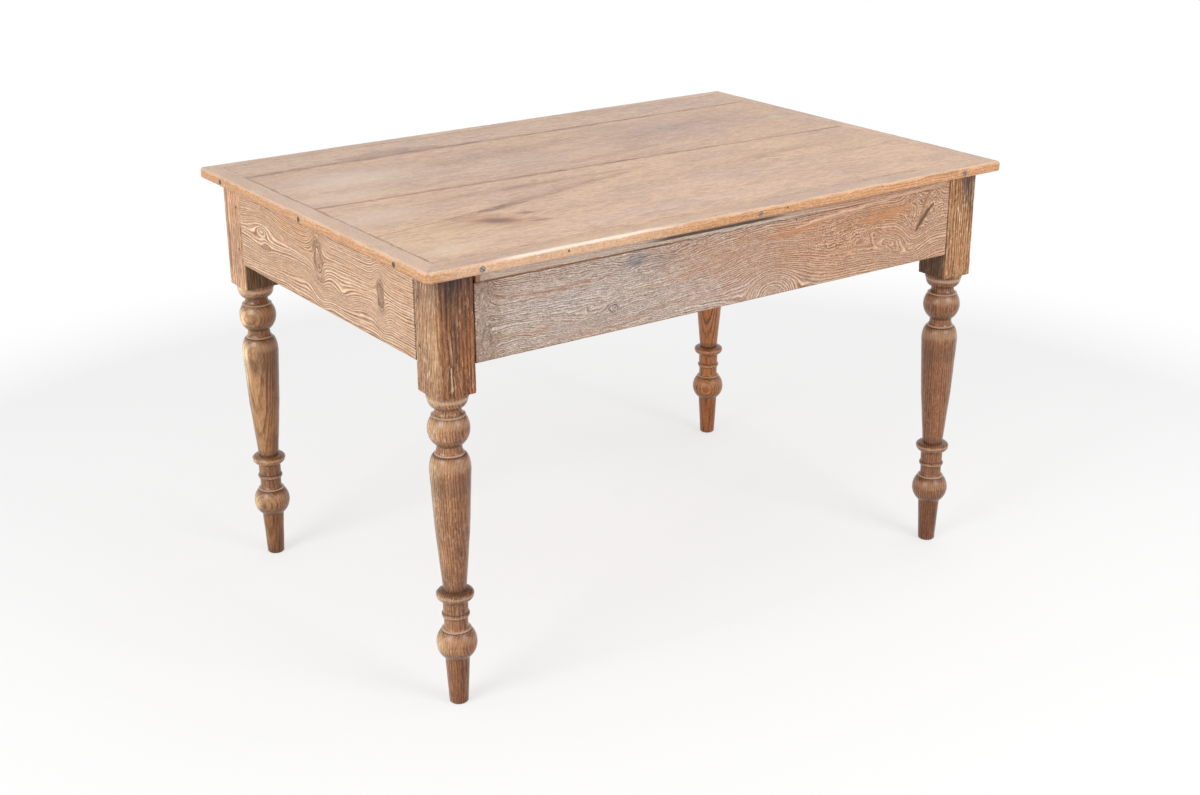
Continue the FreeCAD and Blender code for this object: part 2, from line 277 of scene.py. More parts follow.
def nearLine(tree, along, across, line):
    # 1 on a line of (along, across, half width) points, and 0 past its half width
    place = tree.vector(along, across, 0.0)
    closest = None
    for (u0, v0, w0), (u1, v1, w1) in zip(line, line[1:]):
        run = Vector((u1 - u0, v1 - v0, 0.0)) * mm
        fromStart = place.moved("SUBTRACT", (u0 * mm, v0 * mm, 0.0))
        share = tree.add("ShaderNodeVectorMath", {"operation": "DOT_PRODUCT"},
                         [fromStart, run / run.length_squared], output=1).limited()
        onLine = tree.add("ShaderNodeVectorMath", {"operation": "SCALE"}, {0: run, "Scale": share})
        distance = fromStart.moved("SUBTRACT", onLine).size()
        halfWidth = w0 * mm if w0 == w1 else w0 * mm + share * ((w1 - w0) * mm)
        nearness = tree.add("ShaderNodeMapRange", None, [distance, 0.0, halfWidth, 1.0, 0.0])
        closest = nearness if closest is None else closest.most(nearness)
    return closest


def away(tree, flat, mark):
    # distance from a mark's middle, 1 on its rim
    (u, v), (a, b) = mark["at"], mark["size"]
    turn = math.radians(mark.get("turn", 0.0))
    centred = tree.add("ShaderNodeMapping", {"vector_type": "TEXTURE"},
                       {"Vector": flat, "Location": (u * mm, v * mm, 0.0),
                        "Rotation": (0.0, 0.0, turn), "Scale": (a * mm, b * mm, 1.0)})
    return centred.size()


# The grain, worked out as masks that the colour and the relief are mixed from. The shares and
# thresholds that stand bare here were set against the photo

def bentLines(tree, look, grain):
    # distances from the log's heart: a line wanders, and bends round eyes and knots
    heartAcross, heartDeep = look["heart"]
    lines = ((grain.across - heartAcross) ** 2.0 + (grain.deep - heartDeep) ** 2.0).root()
    wave = (grain.quick - 0.5) * (2.0 * look["ripple"])
    for mark in look["curls"]:
        mask = away(tree, grain.flat, mark).smooth(1.25, 0.35)
        wave = wave * (1.0 + mask * mark["more"])
        grain.burr = mask if grain.burr is None else grain.burr.most(mask)
    if look["calm"]:
        start, end = look["calm"]
        calmness = grain.along.smooth(start * mm, end * mm)
        wave = wave * (1.0 - look["calmWaves"] * calmness)
        grain.broken = grain.broken * (1.0 - look["calmBreaks"] * calmness)
        grain.ringWidth = (1.0 + look["widening"] * calmness) * grain.ringWidth
    for mark in look["eyes"]:
        spread = away(tree, grain.flat, mark)
        cone = ((spread * spread + 0.04).root() * -1.3).math("EXPONENT")
        flow = (spread * spread * -0.30).math("EXPONENT")
        parting = (grain.across - mark["at"][1] * mm) * flow * mark["part"]
        lines = lines - parting + cone * (mark["lift"] * mm)
    for mark in look["knots"]:
        spread = away(tree, grain.flat, mark)
        flow = (spread * spread * -0.40).math("EXPONENT")
        lines = lines - (grain.across - mark["at"][1] * mm) * flow * mark["part"]
        wobble = spread + ((grain.quick - 0.5) * 0.8 + (grain.mottle - 0.5) * 1.1) * mark["wobble"]
        inside = wobble.smooth(1.35, 0.65)
        middle = math.hypot(mark["at"][1] * mm - heartAcross, look["face"] - heartDeep)
        ringsIn = middle + (wobble - 1.0) * (mark["rings"] * look["ringWidth"])
        lines = lines * (1.0 - inside) + ringsIn * inside
        wave = wave * (1.0 - inside * 0.6)
        if mark["dark"] > 0.0:
            dark = wobble.smooth(1.30, 0.60) * (1.0 - wobble.smooth(1.0, 0.3) * mark["hollow"])
            dark = dark * mark["dark"]
            grain.knots = dark if grain.knots is None else grain.knots.most(dark)
    height = look["wanderHeight"]
    slow = tree.cloud(grain.along / look["wanderLength"], grain.across / height, grain.deep / height,
                      look["seed"], 2.0)
    return lines + (slow - 0.5) * (2.0 * look["wander"]) + wave


def grainOf(tree, look):
    seed = look["seed"]
    places = dict(zip("xyz", tree.parts(tree.add("ShaderNodeTexCoord", output="Object"))))
    along, across, deep = (places[letter] for letter in look["axes"])
    height = look["rippleHeight"]
    grain = SimpleNamespace(
        places=places, along=along, across=across, deep=deep, flat=tree.vector(along, across, 0.0),
        quick=tree.cloud(along / look["rippleLength"], across / height, deep / height,
                         seed + 7.0, look["rippleDetail"]),
        mottle=tree.cloud(along * 22.0, across * 60.0, deep * 60.0, seed + 29.0, 3.0, 0.6),
        broken=look["broken"], ringWidth=look["ringWidth"], burr=None, knots=None)
    lines = bentLines(tree, look, grain)

    # years, each with a band of open pores and then denser, darker wood
    years = (lines - look["fromHeart"]) / grain.ringWidth
    drift = tree.cloud(years * 0.4, along * 1.5, deep * 1.5, seed + 3.0, 1.0) - 0.5
    years = years + drift * (2.0 * look["uneven"])
    year = years.math("FRACT")
    tone = tree.add("ShaderNodeTexWhiteNoise", {"noise_dimensions": "1D"},
                    {"W": years.math("FLOOR") + seed})
    fading = tree.cloud(along * 9.0, lines * 60.0, deep * 60.0, seed + 5.0, 2.0).smooth(0.30, 0.60)
    fading = 0.45 + fading * 0.55
    grain.late = year.smooth(0.50, 0.80) * year.smooth(1.0, 0.90) * (0.45 + tone * 0.55) * fading
    band = year.smooth(0.0, 0.12) * year.smooth(0.52, 0.32) * (1.15 - tone * 0.45) * fading
    fine = look["poreFine"]
    dashes = tree.cloud(along * look["poreDraw"], lines * fine, deep * fine, seed + 11.0, 2.0, 0.6)
    grain.pores = band * (1.0 - dashes.smooth(0.55, 0.38) * grain.broken)
    grain.flecks = dashes.smooth(0.56, 0.66)
    fine = look["fibreFine"]
    grain.fibre = tree.cloud(along * look["fibreDraw"], lines * fine, deep * fine, seed + 17.0, 4.0, 0.70)
    grain.darkFibre = grain.fibre.smooth(0.52, 0.38)

    # turned wood is smoother than the sawn block above it, and holds less lime
    grain.turned = places["z"].smooth(look["turnedBelow"] + 2 * mm, look["turnedBelow"])
    grain.limed = 1.0 - grain.turned * look["turnedLess"]
    grain.bands = (grain.pores * grain.limed * look["poreShare"]).limited()
    return grain


def bareColour(tree, look, grain):
    # the wood itself: its years, fibres, pores, flecks, dirt and knots
    fine = look["blotchFine"]
    broad = tree.cloud(grain.along * look["blotchDraw"], grain.across * fine, grain.deep * fine,
                       look["seed"] + 23.0, 3.0, 0.55)
    paleFibre = grain.fibre.smooth(0.52, 0.64)
    flecked = grain.flecks * grain.mottle.smooth(0.38, 0.60) * grain.limed
    colour = tree.mix(broad.smooth(0.40, 0.62) * look["secondShare"], look["early"], look["second"])
    colour = tree.mix((grain.late * look["lateShare"]).limited(), colour, look["late"])
    colour = tree.mix((grain.darkFibre * look["fibreShare"]).limited(), colour, look["late"])
    colour = tree.mix((paleFibre * grain.limed * look["paleShare"]).limited(), colour, look["pore"])
    colour = tree.mix(grain.bands, colour, look["pore"])
    colour = tree.mix(flecked * look["fleckShare"], colour, look["fleck"])
    colour = tree.mix(grain.mottle.smooth(0.56, 0.78) * look["dirtShare"], colour, look["dirt"])
    if grain.knots is not None:
        inKnot = grain.knots * (0.30 + grain.late * 0.60 + grain.darkFibre * 0.50)
        colour = tree.mix(inKnot.limited(), colour, look["knotColour"] or look["dirt"])
    return colour


def specked(tree, look, grain, colour, share):
    # bright and dark grains, more of them in a burr
    fine = look["speckFine"]
    speck = tree.cloud(grain.along * look["speckDraw"], grain.across * fine, grain.deep * fine,
                       look["seed"] + 41.0, 3.0, 0.65)
    if grain.burr is not None:
        share = (grain.burr * look["burrSpecks"] + 1.0) * share
    colour = tree.mix(speck.smooth(0.52, 0.65) * share, colour, look["paleSpeck"])
    return tree.mix(speck.smooth(0.48, 0.35) * share, colour, look["darkSpeck"])


def patched(tree, look, grain, colour):
    # a stain creeps along the fibres, so its rim is ragged and its body streaky
    strayed = grain.across + (grain.mottle - 0.5) * (14 * mm) + (grain.quick - 0.5) * (6 * mm)
    shifted = grain.along + (grain.quick - 0.5) * (10 * mm)
    for patch in look["patches"]:
        ragged, streaky = patch["ragged"], patch["streaky"]
        if "line" in patch:
            near = nearLine(tree, shifted, strayed, patch["line"])
            mask = (near + (grain.fibre - 0.5) * ragged * 0.8).smooth(0.0, 0.95)
        else:
            spread = away(tree, grain.flat, patch)
            spread = spread + ((grain.mottle - 0.5) + (grain.fibre - 0.5)) * ragged
            mask = spread.smooth(1.25, 0.05)
        mask = mask * (1.0 - streaky + grain.darkFibre * (1.3 * streaky))
        colour = tree.mix((mask * patch["share"]).limited(), colour, patch["colour"], patch["blend"])
    return colour


def tinted(tree, look, grain, colour):
    for mark in look["tints"]:
        mask = None
        for axis, none, full in mark["where"]:
            place = grain.places[axis] + (grain.mottle - 0.5) * (mark["ragged"] * mm)
            edge = place.smooth(none * mm, full * mm)
            mask = edge if mask is None else mask * edge
        streaky, years = mark["streaky"], mark["years"]
        if streaky > 0.0:
            mask = mask * (1.0 - streaky + grain.darkFibre * streaky)
        if years > 0.0:
            mask = (mask * (1.0 - years + grain.late * (1.8 * years))).limited()
        colour = tree.mix(mask * mark["share"], colour, mark["colour"], mark["blend"])
    return colour


def worked(tree, look, grain, colour):
    # what tools and hands left: stained end grain, dirt round screws, dirt and wear on the turning; and bands
    # of painted light and painted shade on the turning
    if look["endGrainShare"] > 0.0:
        facing = tree.parts(tree.add("ShaderNodeNewGeometry", output="Normal"))[2]
        cutAcross = abs(facing).smooth(0.35, 0.95) * (0.6 + grain.mottle * 0.7)
        colour = tree.mix((cutAcross * look["endGrainShare"]).limited(), colour, look["late"])
    for *middle, radius in look["holes"]:
        x, y, z = (grain.places[axis] - place * mm for axis, place in zip("xyz", middle))
        distance = (x * x + y * y + z * z).root() / (radius * mm) + (grain.mottle - 0.5) * 0.3
        colour = tree.mix(distance.smooth(1.0, 0.75) * 0.85, colour, look["holeColour"])
    for height, halfWidth, share, shade in look["rings"]:
        distance = abs(grain.along - height * mm) / (halfWidth * mm) + (grain.mottle - 0.5) * 0.8
        colour = tree.mix(distance.smooth(1.0, 0.2) * share, colour, shade)
    return colour


def newMaterial(name):
    material = bpy.data.materials.new(name)
    material.use_nodes = True
    return material, Tree(material.node_tree)


def woodMaterial(name, changes):
    look = {**wood, **changes}
    material, tree = newMaterial(name)
    grain = grainOf(tree, look)
    colour = bareColour(tree, look, grain)
    if look["speckShare"] > 0.0:
        colour = specked(tree, look, grain, colour, look["speckShare"])
    colour = patched(tree, look, grain, colour)
    opened = None
    if look["crack"]:
        strayed = grain.across + (grain.quick - 0.5) * look["crackStray"]
        near = nearLine(tree, grain.along, strayed, look["crack"])
        opened = (near * 1.3 + (grain.fibre - 0.5) * 0.5).smooth(0.1, 0.6)
        colour = tree.mix(opened * look["crackShare"], colour, look["dirt"])
    colour = tinted(tree, look, grain, colour)
    if look["edgeSpeckShare"] > 0.0:
        upper, lower = look["edgeHeights"]
        onEdge = grain.places["z"].smooth(upper * mm, lower * mm) * look["edgeSpeckShare"]
        colour = specked(tree, look, grain, colour, onEdge)
    colour = worked(tree, look, grain, colour)

    relief = grain.late * 0.6 - grain.pores + (grain.fibre - 0.5) * 1.6 - grain.flecks * 0.3
    relief = relief + (grain.mottle - 0.5) * 0.4
    if opened is not None:
        relief = relief - opened * 3.0
    normal = tree.add("ShaderNodeBump", None,
                      {"Strength": 1.0, "Distance": look["relief"], "Height": relief * grain.limed})
    rough = look["roughness"] + (grain.fibre - 0.5) * 0.35 + grain.bands * 0.15 - grain.late * 0.06
    rough = rough - grain.turned * look["turnedGloss"]
    surface = {"Base Color": colour, "Roughness": rough.limited(), "Normal": normal,
               "Specular IOR Level": look["specular"]}
    if look["turnedCoat"] > 0.0:
        surface["Coat Weight"] = grain.turned * look["turnedCoat"]
        surface["Coat Roughness"] = 0.30
    shader = tree.add("ShaderNodeBsdfPrincipled", None, surface)
    tree.node("ShaderNodeOutputMaterial", None, {"Surface": shader})
    return material


# Meshes swept from a section, then worn

def roundedSection(corners, step, ease=0.6):
    # points round a section; a corner is (a, b, radius), in mm, anticlockwise
    points = []
    count = len(corners)
    for i, (a, b, radius) in enumerate(corners):
        before, after = corners[i - 1], corners[(i + 1) % count]
        at = Vector((a, b))
        back = (Vector(before[:2]) - at).normalized()
        on = (Vector(after[:2]) - at).normalized()
        half = back.angle(on) / 2
        reach = radius / math.tan(half)
        centre = at + (back + on).normalized() * (radius / math.sin(half))
        start = at + back * reach - centre
        end = at + on * reach - centre
        swing = math.atan2(start.x * end.y - start.y * end.x, start.dot(end))
        bends = max(3, math.ceil(abs(math.degrees(swing)) / 18))
        arc = []
        for k in range(bends + 1):
            turn = Matrix.Rotation(swing * k / bends, 2)
            arc.append(centre + turn @ start)
        arc = [at + back * (reach + ease)] + arc + [at + on * (reach + ease)]
        if points:
            run = arc[0] - points[-1]
            steps = max(1, round(run.length / step))
            points += [points[-1] + run * (k / steps) for k in range(1, steps)]
        points += arc
    run = points[0] - points[-1]
    steps = max(1, round(run.length / step))
    points += [points[-1] + run * (k / steps) for k in range(1, steps)]
    return [(p.x, p.y) for p in points]


def sweptMesh(name, rings):
    # rings of points joined along a piece, its two ends closed
    mesh = bpy.data.meshes.new(name)
    shape = bmesh.new()
    made = [[shape.verts.new(point) for point in ring] for ring in rings]
    for ring, following in zip(made, made[1:]):
        for k in range(len(ring)):
            after = (k + 1) % len(ring)
            shape.faces.new((ring[k], ring[after], following[after], following[k]))
    shape.faces.new(made[0])
    shape.faces.new(made[-1])
    bmesh.ops.recalc_face_normals(shape, faces=shape.faces)
    shape.to_mesh(mesh)
    shape.free()
    return inScene(name, mesh)


wearing = {
    "hollows": 9.0, "chips": 55.0,       # how close together they lie: more is closer
    "least": 0.03 * mm, "flat": 0.3 * mm,
    "arris": 0.4 * mm, "chip": 1.2 * mm,
    "arrisBend": 0.012,                  # a vertex this far from flat is on an arris
    "chipsFrom": 0.15,
    "dents": 14, "dentReach": (3, 9), "dentDepth": (0.2, 0.7),
}


def wearDown(piece, wear, seed):
    # takes wood off, never adds it: a hollow here and there, most at the arrises
    shape = bmesh.new()
    shape.from_mesh(piece.data)
    shape.normal_update()
    draw = random.Random(seed)
    offset = Vector((draw.uniform(0, 40) for axis in range(3)))
    moves = []
    corners = []
    for point in shape.verts:
        # the two cut ends are left as they are, so that joints stay shut
        sides = [face for face in point.link_faces if len(face.verts) == 4]
        outward = sum((face.normal for face in sides), Vector()).normalized()
        bend = max(1 - face.normal.dot(outward) for face in sides)
        atArris = min(1.0, bend / wear["arrisBend"])
        hollow = 0.5 + 0.5 * noise.noise(point.co * wear["hollows"] + offset)
        chips = max(0.0, noise.noise(point.co * wear["chips"] + offset) - wear["chipsFrom"])
        depth = wear["least"] + wear["flat"] * hollow
        depth += atArris * (wear["arris"] * hollow + wear["chip"] * chips)
        moves.append(outward * -depth)
        if atArris > 0.5:
            corners.append(point.co.copy())
    for point, move in zip(shape.verts, moves):
        point.co += move
    for k in range(wear["dents"]):
        middle = draw.choice(corners)
        reach = draw.uniform(*wear["dentReach"]) * mm
        push = draw.uniform(*wear["dentDepth"]) * mm
        for point in shape.verts:
            distance = (point.co - middle).length
            if distance < reach:
                point.co -= point.normal * (push * (1 - (distance / reach) ** 2) ** 2)
    shape.to_mesh(piece.data)
    shape.free()


def finishPiece(piece, material, slotName, *nodes):
    mesh = piece.data
    mesh.materials.clear()
    mesh.materials.append(material)
    mesh.polygons.foreach_set("use_smooth", [True] * len(mesh.polygons))
    mesh.set_sharp_from_angle(angle=math.radians(38))
    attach(piece, "root")
    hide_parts(*nodes)


def spaced(start, end, step, ease=0.8):
    # places from start to end, with one close to each end so that the ends stay crisp
    count = max(2, round((end - start) / step))
    inner = [start + (end - start) * k / count for k in range(1, count)]
    return [start, start + ease, *inner, end - ease, end]


# The top, its boards and its border

top = {
    "length": 1220, "width": 840, "high": 775, "low": 755,
    "fieldX": 575, "fieldFront": -380, "fieldBack": 390,
    "frontJoint": (15, -21), "backJoint": (290, 290),
    "cornerRound": 7, "roundTop": 6, "roundBottom": 4,
    "gap": 0.25,                 # open line between two boards
    "arris": 0.8,
    "step": 7,
    "wear": {**wearing, "hollows": 6.0, "chips": 60.0, "flat": 0.35 * mm, "arris": 0.3 * mm,
             "chip": 0.8 * mm, "dents": 10},
    "edgeWear": {**wearing, "chips": 70.0, "flat": 0.35 * mm, "arris": 0.5 * mm, "chip": 1.4 * mm,
                 "dents": 22},
    # the long crack of the front board, as (x, y, half width), then its quiet line to the right end
    "crack": [(-575, -199, 0.9), (-405, -170, 0.8), (-290, -145, 0.9), (-180, -127, 0.6), (-60, -110, 0.2)],
    "crackEnd": (575, -100),
    "crackDepth": 1.6,
    "crackLeast": 0.3,           # half width of the mesh's groove where it has all but closed
    "beforeCrack": 30,
}


def between(pair, x):
    # a joint line's place across the table, at x
    share = (x + top["fieldX"]) / (2 * top["fieldX"])
    return pair[0] + (pair[1] - pair[0]) * share


def crackAt(x):
    # place across, half width and depth of the crack at x
    points = top["crack"]
    for (x0, y0, w0), (x1, y1, w1) in zip(points, points[1:]):
        if x <= x1:
            share = (x - x0) / (x1 - x0)
            width = w0 + (w1 - w0) * share
            return y0 + (y1 - y0) * share, width, top["crackDepth"] * width / points[0][2]
    x0, y0, width = points[-1]
    x1, y1 = top["crackEnd"]
    share = (x - x0) / (x1 - x0)
    return y0 + (y1 - y0) * share, width, 0.0


def boardRing(x, front, back, beforeCrack):
    # section of a board at x: its underside flat, its upper arrises just broken,
    # and so many steps on its face before the crack, where it has one
    low, high, step, arris = top["low"], top["high"], top["step"], top["arris"]
    y0, y1 = between(front, x) + top["gap"] / 2, between(back, x) - top["gap"] / 2
    count = max(4, round((back[0] - front[0]) / step))
    ring = [(y0, low)]
    ring += [(y0 + (y1 - y0) * k / count, low) for k in range(1, count)]
    ring += [(y1, low), (y1, high - 2.5 * arris), (y1, high - arris), (y1 - 0.3 * arris, high - 0.3 * arris),
             (y1 - arris, high), (y1 - 2 * arris, high)]
    inner = (y1 - 2 * arris, y0 + 2 * arris)
    if beforeCrack:
        middle, half, depth = crackAt(x)
        half = max(half, top["crackLeast"])
        run = middle + half - inner[0]
        ring += [(inner[0] + run * k / beforeCrack, high) for k in range(1, beforeCrack + 1)]
        ring.append((middle, high - depth))
        rest = count - beforeCrack
        ring += [(middle - half + (inner[1] - middle + half) * k / rest, high) for k in range(rest)]
    else:
        ring += [(inner[0] + (inner[1] - inner[0]) * k / count, high) for k in range(1, count)]
    ring += [(y0 + 2 * arris, high), (y0 + arris, high), (y0 + 0.3 * arris, high - 0.3 * arris),
             (y0, high - arris), (y0, high - 2.5 * arris)]
    return [Vector((x, y, z)) * mm for y, z in ring]


def topBoard(name, front, back, beforeCrack):
    reach = top["fieldX"] - top["gap"] / 2
    rings = [boardRing(x, front, back, beforeCrack) for x in spaced(-reach, reach, top["step"])]
    piece = sweptMesh(name, rings)
    wearDown(piece, top["wear"], len(name))
    return piece


def cornerPulled(x, y, inset):
    # keeps a point inside the rounded corners of the top, less its own inset
    radius = top["cornerRound"]
    cornerX, cornerY = top["length"] / 2 - radius, top["width"] / 2 - radius
    overX, overY = abs(x) - cornerX, abs(y) - cornerY
    if overX > 0 and overY > 0:
        length = math.hypot(overX, overY)
        allowed = radius - inset
        if length > allowed:
            overX, overY = overX * allowed / length, overY * allowed / length
            x = math.copysign(cornerX + overX, x)
            y = math.copysign(cornerY + overY, y)
    return x, y


def borderPiece(name, endways, side):
    # swept along its length; both ends stop at the mitre lines
    low, high, gap = top["low"], top["high"], top["gap"]
    halfLength, halfWidth = top["length"] / 2, top["width"] / 2
    ends = {-1: top["fieldFront"], 1: top["fieldBack"]}
    width = halfLength - top["fieldX"] if endways else halfWidth - abs(ends[side])
    inner = gap / 2
    section = roundedSection([(inner, low, 0.5), (width, low, top["roundBottom"]),
                              (width, high, top["roundTop"]), (inner, high, top["arris"])], 6)
    rings = []
    for t in spaced(0.0, 1.0, top["step"] / top["length"], 0.001):
        ring = []
        for a, z in section:
            inset = width - a
            if endways:
                first = ends[-1] - (halfWidth + ends[-1]) * a / width + gap / 2
                last = ends[1] + (halfWidth - ends[1]) * a / width - gap / 2
                x, y = side * (top["fieldX"] + a), first + (last - first) * t
            else:
                reach = top["fieldX"] + (halfLength - top["fieldX"]) * a / width - gap / 2
                x, y = reach * (2 * t - 1), ends[side] + side * a
            x, y = cornerPulled(x, y, inset)
            ring.append(Vector((x, y, z)) * mm)
        rings.append(ring)
    piece = sweptMesh(name, rings)
    wearDown(piece, top["edgeWear"], len(name) + side)
    return piece


paleTop = {
    "early": (0.685, 0.455, 0.312), "late": (0.36, 0.22, 0.15), "lateShare": 0.24,
    "second": (0.555, 0.362, 0.278), "secondShare": 0.90, "blotchDraw": 5.0, "blotchFine": 15.0,
    "pore": (0.80, 0.60, 0.45), "poreShare": 0.20, "paleShare": 0.46, "fleck": (0.33, 0.21, 0.155),
    "fleckShare": 0.40, "fibreShare": 0.60, "fibreDraw": 30.0, "fibreFine": 330.0, "poreDraw": 52.0,
    "poreFine": 400.0, "face": 0.775, "dirtShare": 0.20, "dirt": (0.36, 0.25, 0.21),
    "ringWidth": 7.0 * mm, "wander": 17 * mm, "wanderLength": 0.42, "wanderHeight": 0.16,
    "ripple": 1.6 * mm, "speckShare": 0.32, "speckDraw": 100.0, "speckFine": 260.0,
    "paleSpeck": (0.88, 0.70, 0.55), "darkSpeck": (0.40, 0.27, 0.20), "roughness": 0.50,
    "relief": 0.12 * mm,
}
greyStain = (0.60, 0.55, 0.57)
jointStain = (0.42, 0.34, 0.33)
violetBrown = (0.24, 0.13, 0.11)
warmYellow = (0.80, 0.55, 0.31)
pinkish = (0.62, 0.44, 0.37)
limeWhite = (0.80, 0.70, 0.62)
sandedPale = (0.86, 0.73, 0.60)
knotBrown = (0.38, 0.19, 0.13)
frontBoardWood = {
    **paleTop, "seed": 11.0, "heart": (0.75, 0.10), "early": (0.745, 0.498, 0.332),
    "second": (0.615, 0.404, 0.296),
    "eyes": [eye((285, -125), (90, 26), 30), eye((-100, -330), (150, 22), 12)],
    "knots": [
        knot((-370, -227), (17, 10), turn=-35, dark=2.6, wobble=1.0, rings=2),
        knot((-300, -214), (11, 7), dark=1.6, wobble=1.2, rings=1),
        knot((-307, -264), (14, 6), dark=1.6, wobble=1.2, rings=1),
        knot((-314, -152), (10, 6), dark=0.7, wobble=1.0, rings=1),
        knot((-170, -35), (9, 5), dark=0.75),
        knot((-480, -20), (7, 4), dark=0.4),
    ],
    "knotColour": violetBrown,
    "patches": [
        toned(0.55, warmYellow, (-450, -215), (130, 70)),
        toned(0.20, warmYellow, (430, -120), (190, 80)),
        spot(0.90, (0.50, 0.25, 0.14), (-368, -227), (84, 42), turn=-35, streaky=0.1, ragged=1.2),
        spot(0.95, violetBrown, (-367, -228), (42, 20), turn=-35, streaky=0.0, ragged=0.9),
        spot(0.8, knotBrown, (-300, -214), (24, 11), turn=-20, streaky=0.2, ragged=1.4),
        spot(0.8, knotBrown, (-307, -264), (30, 10), turn=-25, streaky=0.2, ragged=1.4),
        stained(0.95, (0.46, 0.36, 0.34), (-366, -168, 6), (-318, -160, 14), (-262, -150, 6), ragged=1.6),
        stained(0.70, greyStain, (-420, -180, 18), (-290, -150, 30), (-140, -108, 22), (0, -80, 14),
                ragged=1.7),
        streak(0.8, limeWhite, (-556, -352, 1.0), (-538, -348, 2.4), (-522, -352, 1.0), streaky=0.1,
               ragged=1.2),
        stained(0.60, greyStain, (-250, -62, 14), (-205, -60, 24), (-140, -62, 12), ragged=1.4),
        stained(0.50, greyStain, (-420, -60, 16), (-250, -50, 24), (-60, -62, 22), (60, -60, 12)),
        stained(0.60, greyStain, (190, -138, 14), (285, -122, 26), (400, -112, 12)),
        toned(0.6, pinkish, (-60, -320), (380, 36)),
        toned(0.5, pinkish, (120, -220), (260, 50)),
        stained(0.28, jointStain, (-580, -378, 6), (580, -378, 6)),
        stained(0.75, jointStain, (-580, 15, 7), (-100, -1, 9), (580, -21, 7)),
        stained(0.60, jointStain, (-575, -385, 2.5), (-575, 20, 2.5), streaky=0.1),
        spot(0.40, sandedPale, (-520, -90), (110, 60), streaky=0.4),
        spot(0.35, sandedPale, (-510, -330), (80, 30), streaky=0.5),
    ],
    "crack": [(x, y, 1.3 * w) for x, y, w in top["crack"]],
}
middleBoardWood = {
    **paleTop, "seed": 23.0, "heart": (-0.85, 0.05),
    "eyes": [eye((540, 205), (60, 26), 26), eye((120, 60), (210, 34), 18)],
    "knots": [knot((-30, 175), (22, 12), dark=0.30), knot((-330, 225), (9, 6), dark=0.4)],
    "knotColour": (0.40, 0.25, 0.16),
    "patches": [
        toned(0.7, pinkish, (280, 165), (190, 110)),
        stained(0.45, greyStain, (160, 150, 60), (400, 190, 60), ragged=1.3),
        stained(0.35, greyStain, (-240, 170, 30), (60, 210, 44), (200, 230, 30), ragged=1.3),
        toned(0.6, pinkish, (-150, 100), (260, 60)),
        toned(0.20, warmYellow, (-480, 120), (120, 90)),
        spot(0.40, (0.86, 0.76, 0.68), (-430, 170), (170, 80), streaky=0.3),
        streak(0.8, limeWhite, (-205, 268, 1.0), (-190, 262, 2.6), (-180, 252, 1.0), streaky=0.1,
               ragged=1.2),
        toned(0.8, (0.50, 0.48, 0.40), (530, 130), (30, 18)),
        stained(0.55, greyStain, (-40, 40, 10), (60, 52, 26), (180, 66, 12)),
        stained(0.85, jointStain, (-580, 290, 8), (-300, 290, 13), (0, 290, 10), (160, 290, 7),
                (580, 290, 6)),
        stained(0.75, jointStain, (-580, 15, 7), (-100, -1, 9), (580, -21, 7)),
        stained(0.50, jointStain, (-575, 15, 2.5), (-575, 290, 2.5), streaky=0.1),
        spot(0.45, sandedPale, (-500, 60), (120, 50), streaky=0.4),
    ],
}
backBoardWood = {
    **paleTop, "seed": 37.0, "heart": (1.20, 0.0), "second": (0.585, 0.415, 0.345),
    "early": (0.645, 0.456, 0.340),
    "patches": [
        stained(0.80, jointStain, (-580, 290, 14), (-300, 292, 22), (-100, 290, 16), (40, 290, 10),
                (580, 290, 6)),
        stained(0.75, greyStain, (-370, 312, 22), (-260, 318, 34), (-180, 308, 18)),
        stained(0.40, jointStain, (-580, 388, 6), (580, 388, 6)),
        toned(0.4, warmYellow, (0, 380), (560, 24)),
    ],
}
edgeScrew = {
    "height": 764, "radius": 4.3, "slot": 1.7, "slotDepth": 1.0, "depth": 3.0, "sink": 0.02, "dirt": 5.8,
    "frontShares": (-0.84, 0.054, 0.845), "endShares": (-0.76, 0.02, 0.78),
}
halfLength, halfWidth = top["length"] / 2, top["width"] / 2


def edgePlace(share, side, endways, sink=0.0):
    # middle of a screw in the top's outer edge
    if endways:
        return (side * (halfLength - sink), share * halfWidth, edgeScrew["height"])
    return (share * halfLength, side * (halfWidth - sink), edgeScrew["height"])


orangeEdge = (0.64, 0.32, 0.125)
# pale of wear with a painted highlight along the upper rounding
wornAndLitArris = (0.86, 0.62, 0.43)
edgeFace = ("z", 773, 769)
edgeTints = [
    tint(0.85, orangeEdge, ("z", 774.0, 770.5), ragged=3.5),
    # pale wear and a painted highlight along the upper rounding of the edge
    tint(0.40, wornAndLitArris, ("z", 774.8, 772.8), ("z", 768.0, 771.0), ragged=4.0),
    tint(0.45, (0.40, 0.17, 0.07), ("z", 773.0, 770.0), ragged=3.0, years=1.0),
    tint(0.80, (0.38, 0.16, 0.06), ("z", 773.0, 770.0), ragged=3.0, streaky=1.0),
    tint(0.60, (0.33, 0.17, 0.09), ("z", 760.5, 756.0), ragged=3.0),
]
borderWood = {
    **paleTop, "ringWidth": 2.6 * mm, "wander": 8 * mm, "wanderLength": 0.24, "heart": (0.9, -0.1),
    "roughness": 0.40, "fibreShare": 0.50, "lateShare": 0.45, "paleShare": 0.45, "fleckShare": 0.45,
    "relief": 0.25 * mm, "fibreFine": 620.0, "poreFine": 700.0, "fibreDraw": 22.0, "speckShare": 0.30,
    "edgeSpeckShare": 0.42, "speckDraw": 260.0, "speckFine": 380.0, "darkSpeck": (0.36, 0.17, 0.09),
}
